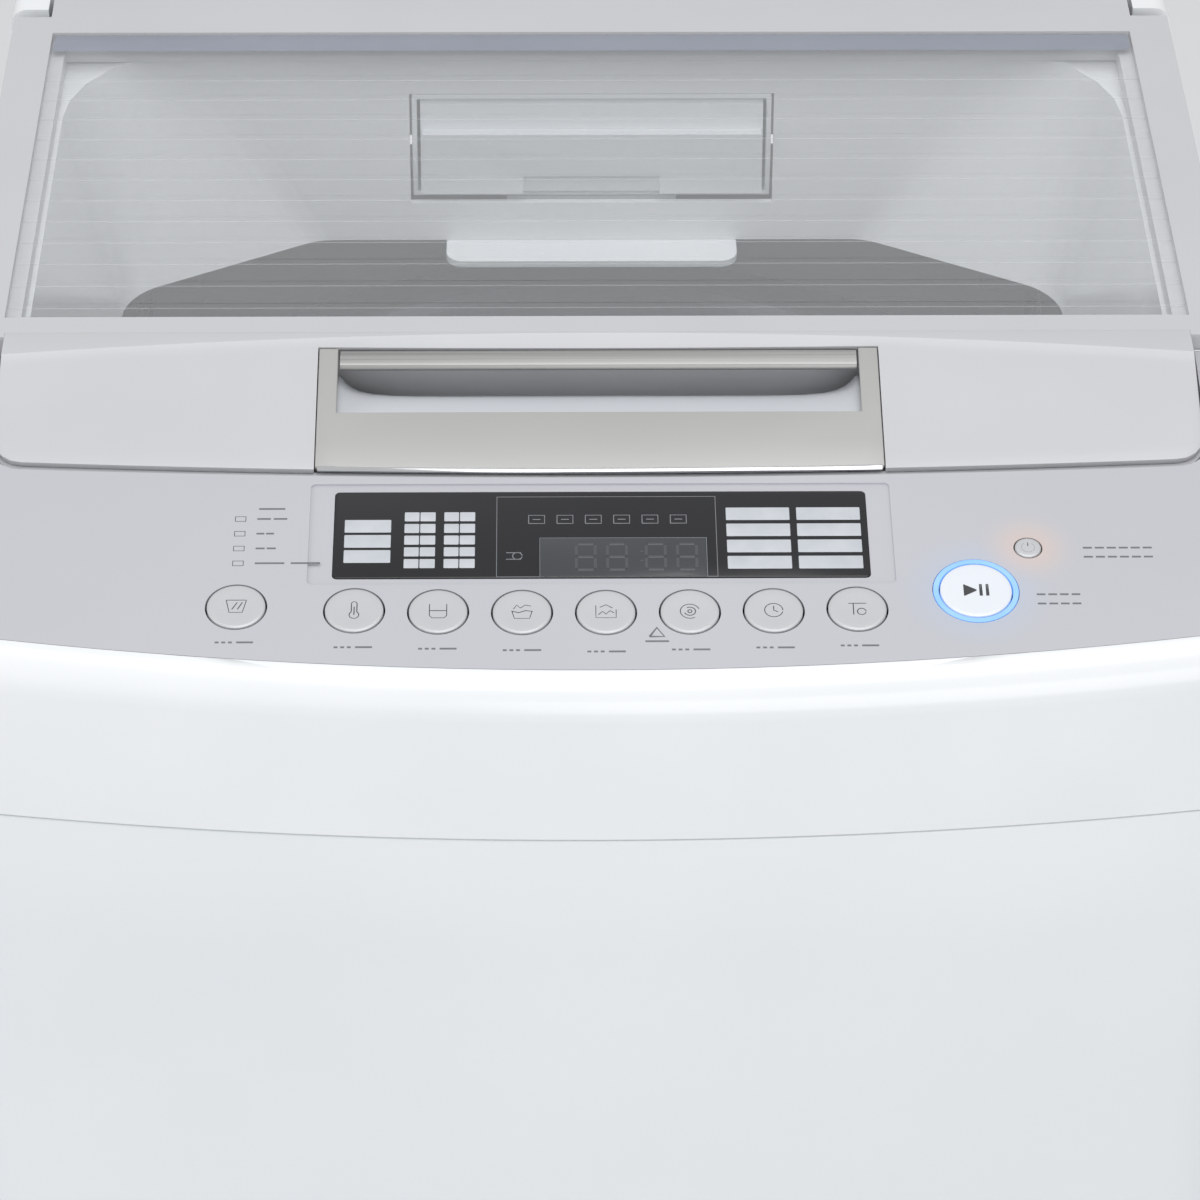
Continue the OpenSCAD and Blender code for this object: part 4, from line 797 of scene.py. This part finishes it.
lid_cover = gridded("lid_slope", columns, shares, cover_point)
faces_removed(lid_cover, lambda face: abs(face.center.x) < bezel_half and face.center.y < bezel_rear)
facing_out(lid_cover, 0.00005)
applied(lid_cover, "SOLIDIFY", thickness=2.6 * mm, offset=-1, use_even_offset=True)
applied(lid_cover, "BEVEL", width=0.7 * mm, segments=3, limit_method="ANGLE", angle_limit=math.radians(50))
finished(lid_cover, lid_plastic, "lid", 30)
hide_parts("lid_front_cover")


# ---- Window ----
# A 3 mm clear pane let into the lid frame. Fine ribs run across it every 17 mm, and its rear edge
# has a bluish printed band.

pane_low, pane_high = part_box("lid_window")
clear_pane, pane_tree, pane_surface, pane_place = started(
    "clear ribbed pane", Base_Color=linear("#eef1f4"), IOR=1.5, Roughness=0.06)
edge_on = put(pane_tree, "ShaderNodeLayerWeight", {"Blend": 0.25})
see_through = put(pane_tree, "ShaderNodeMapRange", {"To Min": 0.03, "To Max": 0.45},
                  Value=(edge_on, "Facing"))
pane_tree.links.new(see_through.outputs[0], pane_surface.inputs["Alpha"])
haze = put(pane_tree, "ShaderNodeTexNoise", {"Scale": 25.0}, Vector=(pane_place, "Object"))
haze_gloss = put(pane_tree, "ShaderNodeMapRange", {"To Min": 0.05, "To Max": 0.10}, Value=(haze, 0))
pane_tree.links.new(haze_gloss.outputs[0], pane_surface.inputs["Roughness"])

rib_rows = []
rib = pane_low.y + 12 * mm
while rib < pane_high.y - 20 * mm:
    rib_rows += [(rib + side * mm, lift * mm)
                 for side, lift in ((-0.7, 0), (-0.3, 0.2), (0.3, 0.2), (0.7, 0))]
    rib += 17 * mm
pane_rows = [(pane_low.y, 0)] + rib_rows + [(pane_high.y, 0)]
pane = gridded("window_pane", (pane_low.x, 0, pane_high.x), pane_rows,
               lambda x, row: (x, row[0], pane_high.z + row[1]))
facing_out(pane)
applied(pane, "SOLIDIFY", thickness=3 * mm, offset=-1)
finished(pane, clear_pane, "lid", 20)
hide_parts("lid_window")

band_print = surfaced("bluish grey band print", "#9fa5b4", "#b4bac8", 60, 1.5, 0.01, 0.25, 0.35,
                      IOR=1.5, Alpha=0.55)
band = rounded_plate("window_band", (pane_high.x - pane_low.x) / 2 / mm - 1, 7.0, 2.0, 0.0, 0.08, 0.02)
band.data.transform(Matrix.Translation(((pane_low.x + pane_high.x) / 2, pane_high.y - 8 * mm, pane_high.z)))
finished(band, band_print, "lid")


# ---- Handle ----
# A satin silver surround with a smooth grey finger recess. A brushed aluminium strip overhangs the
# rear of the recess, and a bright trim line closes the surround's front edge.

handle_silver = painted_silver("satin silver handle paint", "#b2b2b0", "#bcbcba")
cup_low, cup_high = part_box("handle_cup")
grip_low, grip_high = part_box("handle_grip")
plate_half = bezel_high.x - 0.1 * mm
hole_half = plate_half - 8 * mm
hole_front = cup_low.y + 2 * mm
plate_rear = bezel_high.y - 0.1 * mm
bezel_columns = [-plate_half, -hole_half, -0.66 * hole_half, -0.33 * hole_half, 0,
                 0.33 * hole_half, 0.66 * hole_half, hole_half, plate_half]
bezel_rows = [None, 0.5, hole_front, plate_rear]


def on_lid(x, y, above):
    """A point so far above the lid's slope."""
    return x, y, lid_top + (y - crease_y) * rise + above * mm


def bezel_point(x, row):
    """A corner of the surround: None is its front edge, 0.5 is half way to the recess."""
    edge_y = front_edge(x) + 1.0 * mm
    return on_lid(x, edge_y if row is None else (edge_y + hole_front) / 2 if row == 0.5 else row, 0.45)


bezel = gridded("handle_surround", bezel_columns, bezel_rows, bezel_point)
faces_removed(bezel, lambda face: abs(face.center.x) < hole_half and face.center.y > hole_front)
facing_out(bezel)
applied(bezel, "SOLIDIFY", thickness=2.4 * mm, offset=-1, use_even_offset=True)
applied(bezel, "BEVEL", width=0.6 * mm, segments=3, limit_method="ANGLE", angle_limit=math.radians(50))
finished(bezel, handle_silver, "lid", 30)
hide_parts("handle_bezel")

recess_plastic = moulded("smooth blue-grey ABS", "#d3d6dc", "#dde0e5", 2.5, 0.02, 0.38, 0.46)
floor_z = cup_low.z + 2 * mm
lip_z = cup_high.z - 0.3 * mm
scoop_half = hole_half + 1.5 * mm
scoop_columns = [-scoop_half, -hole_half + 1 * mm, -hole_half + 7 * mm, -0.5 * hole_half, 0,
                 0.5 * hole_half, hole_half - 7 * mm, hole_half - 1 * mm, scoop_half]
scoop_rows = [(hole_front - 1.5 * mm, 0), (hole_front + 0.5 * mm, 0), (hole_front + 2 * mm, 0.04),
              (hole_front + 7 * mm, 0.11), (hole_front + 13 * mm, 0.20), (hole_front + 20 * mm, 0.30),
              (hole_front + 26 * mm, 0.45), (grip_high.y + 1 * mm, 1.0)]


def scoop_point(x, row):
    """A corner of the recess: each row has its depth as a share, and both ends rise to the lip."""
    share = row[1] * min(max((scoop_half - abs(x) - 2.5 * mm) / (6 * mm), 0), 1)
    return x, row[0], lip_z + (floor_z - lip_z) * share


scoop = gridded("finger_scoop", scoop_columns, scoop_rows, scoop_point)
facing_out(scoop)
applied(scoop, "SOLIDIFY", thickness=1.6 * mm, offset=-1)
applied(scoop, "SUBSURF", levels=2)
finished(scoop, recess_plastic, "lid", 40)
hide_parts("handle_cup")

brushed = streaked("brushed aluminium", (6, 3300, 3300), "#7c7c7b", "#b6b6b5", 0.24, 0.44)

# How far in front of the strip's rear edge and under the slope, in millimetres.
strip_profile = ((0, 0.3), (5.8, 0.6), (6.9, 0.9), (7.5, 1.7), (7.6, 2.6), (7.1, 3.5), (6.3, 3.9), (0, 6.5))
section = [on_lid(0, grip_high.y - back * mm, -under)[1:] for back, under in strip_profile]
stations = [grip_low.x + 0.4 * mm, grip_low.x + 1.2 * mm, 0, grip_high.x - 1.2 * mm, grip_high.x - 0.4 * mm]
grip_bar = loop_of("grip_strip", [(stations[0], y, z) for y, z in section])
bpy.ops.object.mode_set(mode="EDIT")
bpy.ops.mesh.edge_face_add()
bpy.ops.mesh.select_all(action="SELECT")
bpy.ops.object.mode_set(mode="OBJECT")
for x in stations[1:]:
    pulled(grip_bar, [(x, y, z) for y, z in section])
capped()
facing_out(grip_bar)
finished(grip_bar, brushed, "lid", 30)
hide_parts("handle_grip")

chrome = surfaced("bright chrome plate", "#d6d8da", "#e6e7e9", 30, 2.0, 0.005, 0.08, 0.14, Metallic=1.0)
trim_path = []
for k in range(25):
    x = -bezel_high.x + 1.0 * mm + k * (2 * bezel_high.x - 2 * mm) / 24
    trim_path.append((x, front_edge(x) + 0.5 * mm))
trim = loop_of("handle_trim", [(x, y - 0.2 * mm, on_lid(x, y, -1.6)[2]) for x, y in trim_path]
               + [(x, y + 0.9 * mm, on_lid(x, y, 0.7)[2]) for x, y in reversed(trim_path)])
capped()
facing_out(trim)
applied(trim, "SOLIDIFY", thickness=0.4 * mm, offset=0)
applied(trim, "BEVEL", width=0.1 * mm, segments=2, limit_method="ANGLE", angle_limit=math.radians(40))
finished(trim, chrome, "lid")


# ---- Hinge pins and lid switch ----
# Two turned steel pins carry the lid's knuckles, and a sealed switch under the rear rail feels the lid.

turned_steel = plated("turned steel", "#a9acaf", 0.22, 0.34)
dressed("hinge_pins", turned_steel, 0.3)
switch_plastic = moulded("black switch housing", "#202124", "#2a2b2e", 0.8, 0.03, 0.42, 0.52)
dressed("lid_switch", switch_plastic, 0.4)


# ---- Dispenser, drawer and water inlet ----
# White polypropylene housing with a spout lip over the drum, and a two-bay drawer in the basin's rear
# wall. Two valves with threaded stubs stand in the deck's rear recess, with the cord gland below.

dispenser_white = moulded("glossy white polypropylene", "#e9eef2", "#f5f8fa", 4.0, 0.02, 0.22, 0.30, 0.2)
dressed("dispenser_housing", dispenser_white, 0.6)
dressed("detergent_drawer", dispenser_white, 0.6)
valve_blue = moulded("blue valve plastic", "#23407f", "#2d4d92", 1.0, 0.03, 0.40, 0.50)
dressed("inlet_valves", valve_blue, 0.4)
gland_black = moulded("black gland plastic", "#1a1a1b", "#242425", 0.8, 0.03, 0.45, 0.55)
dressed("cord_gland", gland_black, 0.4)
board_green = moulded("lacquered green circuit board", "#12452a", "#1d5a38", 2.0, 0.02, 0.25, 0.40, 0.3)
dressed("control_board", board_green, 0.2)


# ---- Suspension ----
# Zinc plated gussets hold acetal seats. From each hangs a steel rod, and on its lower disc stands a
# spring that carries the tub through a dark damper cup.

dressed("corner_brackets", zinc_plate, 0.3)
acetal = moulded("white acetal", "#e2e2df", "#ececea", 1.5, 0.02, 0.34, 0.42)
dressed("rod_seats", acetal, 0.5)
dressed("suspension_rods", turned_steel, 0.4)
cup_plastic = moulded("dark damper cup", "#242527", "#2e2f31", 0.9, 0.04, 0.46, 0.56)
dressed("suspension_cups", cup_plastic, 0.6)

spring_low, spring_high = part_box("suspension_springs")
wire, coil_radius, coil_turns = 1.6 * mm, 13 * mm, 5
hang_x = spring_high.x - coil_radius - wire
hang_y = spring_high.y - coil_radius - wire
steps = 24 * coil_turns
climb = (spring_high.z - spring_low.z - 2 * wire) / steps
turns = [(k, 2 * math.pi * coil_turns * k / steps) for k in range(steps + 1)]
springs = [wired("spring_wire", [[(side_x * hang_x + coil_radius * math.cos(turn),
                                   side_y * hang_y + coil_radius * math.sin(turn),
                                   spring_low.z + wire + climb * k) for k, turn in turns]], wire, 3)
           for side_x in (-1, 1) for side_y in (-1, 1)]
coil_springs = joined("coil_springs", springs)
spring_steel = plated("drawn spring wire", "#6f7277", 0.30, 0.40)
finished(coil_springs, spring_steel, "tub", 60)
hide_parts("suspension_springs")


# ---- Tub ----
# Ribbed white polypropylene tub with a dark grey ring clipped over its rim, and a rubber lip seal
# round the spin shaft.

tub_plastic = moulded("ribbed tub polypropylene", "#d8dadb", "#e3e5e6", 1.6, 0.04, 0.46, 0.56)
dressed("outer_tub", tub_plastic, 0.8)
ring_plastic = moulded("dark grey tub ring", "#5f6366", "#6a6e71", 1.2, 0.04, 0.42, 0.52)
dressed("tub_cover", ring_plastic, 0.8)
seal_rubber = moulded("lip seal rubber", "#18181a", "#202022", 0.8, 0.04, 0.55, 0.68)
dressed("tub_seal", seal_rubber, 0.4)


# ---- Drum ----
# Polished stainless sheet with rows of drain holes between plain bands. It stands on a ribbed base,
# carries two lint traps and is closed by the balance ring.

stainless = streaked("polished stainless sheet", (260, 260, 12), "#a8abae", "#cfd2d4", 0.16, 0.30)

drum_low, drum_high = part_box("inner_drum")
drum_wall = 215 * mm
around, up = 120, 40
bpy.ops.object.select_all(action="DESELECT")
bpy.ops.mesh.primitive_grid_add(x_subdivisions=around, y_subdivisions=up, size=1)
drum = bpy.context.object
wall_foot, wall_head = drum_low.z + 12 * mm, drum_high.z - 1 * mm
for corner in drum.data.vertices:
    turn = 2 * math.pi * (corner.co.x + 0.5)
    height = wall_foot + (wall_head - wall_foot) * (corner.co.y + 0.5)
    corner.co = (drum_wall * math.cos(turn), drum_wall * math.sin(turn), height)
facing_out(drum, 0.0001)


def holed(face):
    """Every other face of each band of eight, between the plain foot and the plain head."""
    turn = round((math.atan2(face.center.y, face.center.x) / (2 * math.pi) % 1) * around - 0.5)
    level = round((face.center.z - wall_foot) / (wall_head - wall_foot) * up - 0.5)
    return turn % 10 not in (0, 1) and (turn + level) % 2 == 0 and 2 < level < up - 7


faces_chosen(drum, holed)
bpy.ops.mesh.inset(thickness=3.4 * mm, depth=0, use_individual=True)
bpy.ops.mesh.delete(type="FACE")
bpy.ops.mesh.select_mode(type="VERT")
bpy.ops.object.mode_set(mode="OBJECT")
applied(drum, "SUBSURF", levels=1, render_levels=1)
drum_foot = turned("drum_foot", [(186, 225.2), (199.6, 225.2), (203, 226.6), (214.2, 236.4), (215, 238.6),
                                 (215, 237.0), (214.6, 235.8), (203.2, 225.8), (199.8, 224.3),
                                 (186, 224.3)], 120)
drum_lip = turned("drum_lip", [(214, 689.2), (215, 689.2), (215, 690), (218, 690), (218, 690.9),
                               (214, 690.9)], 120)
drum = joined("drum_shell", [drum, drum_foot, drum_lip])
finished(drum, stainless, "drum", 30)
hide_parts("inner_drum")

drum_plastic = moulded("ribbed grey polypropylene", "#bfc2c4", "#cbcecf", 1.4, 0.04, 0.40, 0.50)
dressed("drum_base", drum_plastic, 0.8)
ring_grey = moulded("welded balance ring", "#a9adaf", "#b5b9bb", 1.4, 0.04, 0.36, 0.46)
dressed("balance_ring", ring_grey, 1.0)
trap_white = moulded("white lint trap", "#e6e8ea", "#f0f2f3", 1.4, 0.03, 0.36, 0.46)
dressed("lint_filters", trap_white, 0.6)
dressed("spin_shaft", turned_steel, 0.6)


# ---- Pulsator and wash shaft ----
# A glossy moulded wing disc at the bottom of the drum, on the solid shaft that the belt turns.

pulsator_plastic = moulded("glossy pale grey ABS", "#ccd2d7", "#d9dee2", 3.0, 0.02, 0.24, 0.32, 0.2)
dressed("pulsator", pulsator_plastic, 1.4)
dressed("wash_shaft", turned_steel, 0.4)


# ---- Drive ----
# Die cast gear case and pulley, a plated drive plate, a fabric-backed belt and a painted motor.

die_cast = plated("die cast aluminium", "#a6a9ab", 0.42, 0.56)
dressed("clutch_pulley", die_cast, 0.5)
dressed("clutch_housing", die_cast, 0.8)
dressed("drive_plate", zinc_plate, 0.3)
belt_rubber = moulded("fabric-backed belt rubber", "#161617", "#1f1f20", 0.6, 0.05, 0.60, 0.74)
dressed("drive_belt", belt_rubber, 0.4)
motor_paint = enamelled("dark motor enamel", "#2f3236", "#3a3d41")
dressed("motor_stator", motor_paint, 0.8)
dressed("motor_rotor", turned_steel, 0.4)


# ---- Drain ----
# The valve hangs from the tub's outlet, a corrugated rubber sleeve takes up the tub's movement, and a
# grey elbow leads to the spigot at the rear.

drain_plastic = moulded("off-white drain valve", "#d4d3cc", "#dedcd6", 1.2, 0.04, 0.44, 0.54)
dressed("drain_valve", drain_plastic, 0.6)
sleeve_rubber = moulded("corrugated sleeve rubber", "#1b1b1c", "#252526", 0.8, 0.05, 0.56, 0.70)
dressed("drain_bellows", sleeve_rubber, 0.3)
elbow_plastic = moulded("grey drain elbow", "#575a5d", "#626568", 1.0, 0.04, 0.44, 0.54)
dressed("drain_elbow", elbow_plastic, 0.5)


# ---- Studio ----
# A pale floor, a soft overhead panel, a front fill and a camera that looks down on the front edge.

bpy.ops.object.select_all(action="DESELECT")
bpy.ops.mesh.primitive_plane_add(size=16, location=(0, 0, 0))
floor = bpy.context.object
floor.name = "studio_floor"
floor.data.materials.append(surfaced("matt pale floor", "#eceef0", "#f3f4f5", 900, 3.0, 0.02, 0.75, 0.85))

world = bpy.data.worlds.new("studio")
bpy.context.scene.world = world
world.use_nodes = True
world.node_tree.nodes["Background"].inputs["Color"].default_value = linear("#f4f4f4")
world.node_tree.nodes["Background"].inputs["Strength"].default_value = 0.70


def soft_light(name, place, aim, size, power, tint="#ffffff"):
    """A square soft box at one place, turned to a point."""
    lamp = bpy.data.lights.new(name, "AREA")
    lamp.shape = "SQUARE"
    lamp.size = size
    lamp.energy = power
    lamp.color = linear(tint)[:3]
    holder = bpy.data.objects.new(name, lamp)
    bpy.context.collection.objects.link(holder)
    holder.location = place
    holder.rotation_euler = (Vector(aim) - Vector(place)).to_track_quat("-Z", "Y").to_euler()


soft_light("overhead_panel", (0.2, -0.5, 3.1), (0, 0, 0.9), 1.8, 21)
soft_light("left_window", (-2.4, -0.8, 2.2), (0, 0, 0.8), 1.4, 13, "#fbfcff")
soft_light("front_fill", (0.7, -3.0, 1.5), (0, -0.2, 0.7), 1.8, 15)

camera_data = bpy.data.cameras.new("camera")
camera_data.sensor_width = 36
camera_data.lens = 134.25
camera = bpy.data.objects.new("camera", camera_data)
bpy.context.collection.objects.link(camera)
camera.location = (-22.7 * mm, -1628.2 * mm, 1943.7 * mm)
down, aside, roll = math.radians(37.20), math.radians(0.891), math.radians(0.358)
ahead = Vector((math.sin(aside) * math.cos(down), math.cos(aside) * math.cos(down), -math.sin(down)))
level_right = Vector((math.cos(aside), -math.sin(aside), 0))
level_up = level_right.cross(ahead)
right = level_right * math.cos(roll) + level_up * math.sin(roll)
upward = level_up * math.cos(roll) - level_right * math.sin(roll)
camera.rotation_mode = "QUATERNION"
camera.rotation_quaternion = Matrix((right, upward, -ahead)).transposed().to_quaternion()
camera_data.clip_start, camera_data.clip_end = 0.05, 60
bpy.context.scene.camera = camera

bpy.context.scene.view_settings.view_transform = "Standard"

bpy.context.view_layer.update()
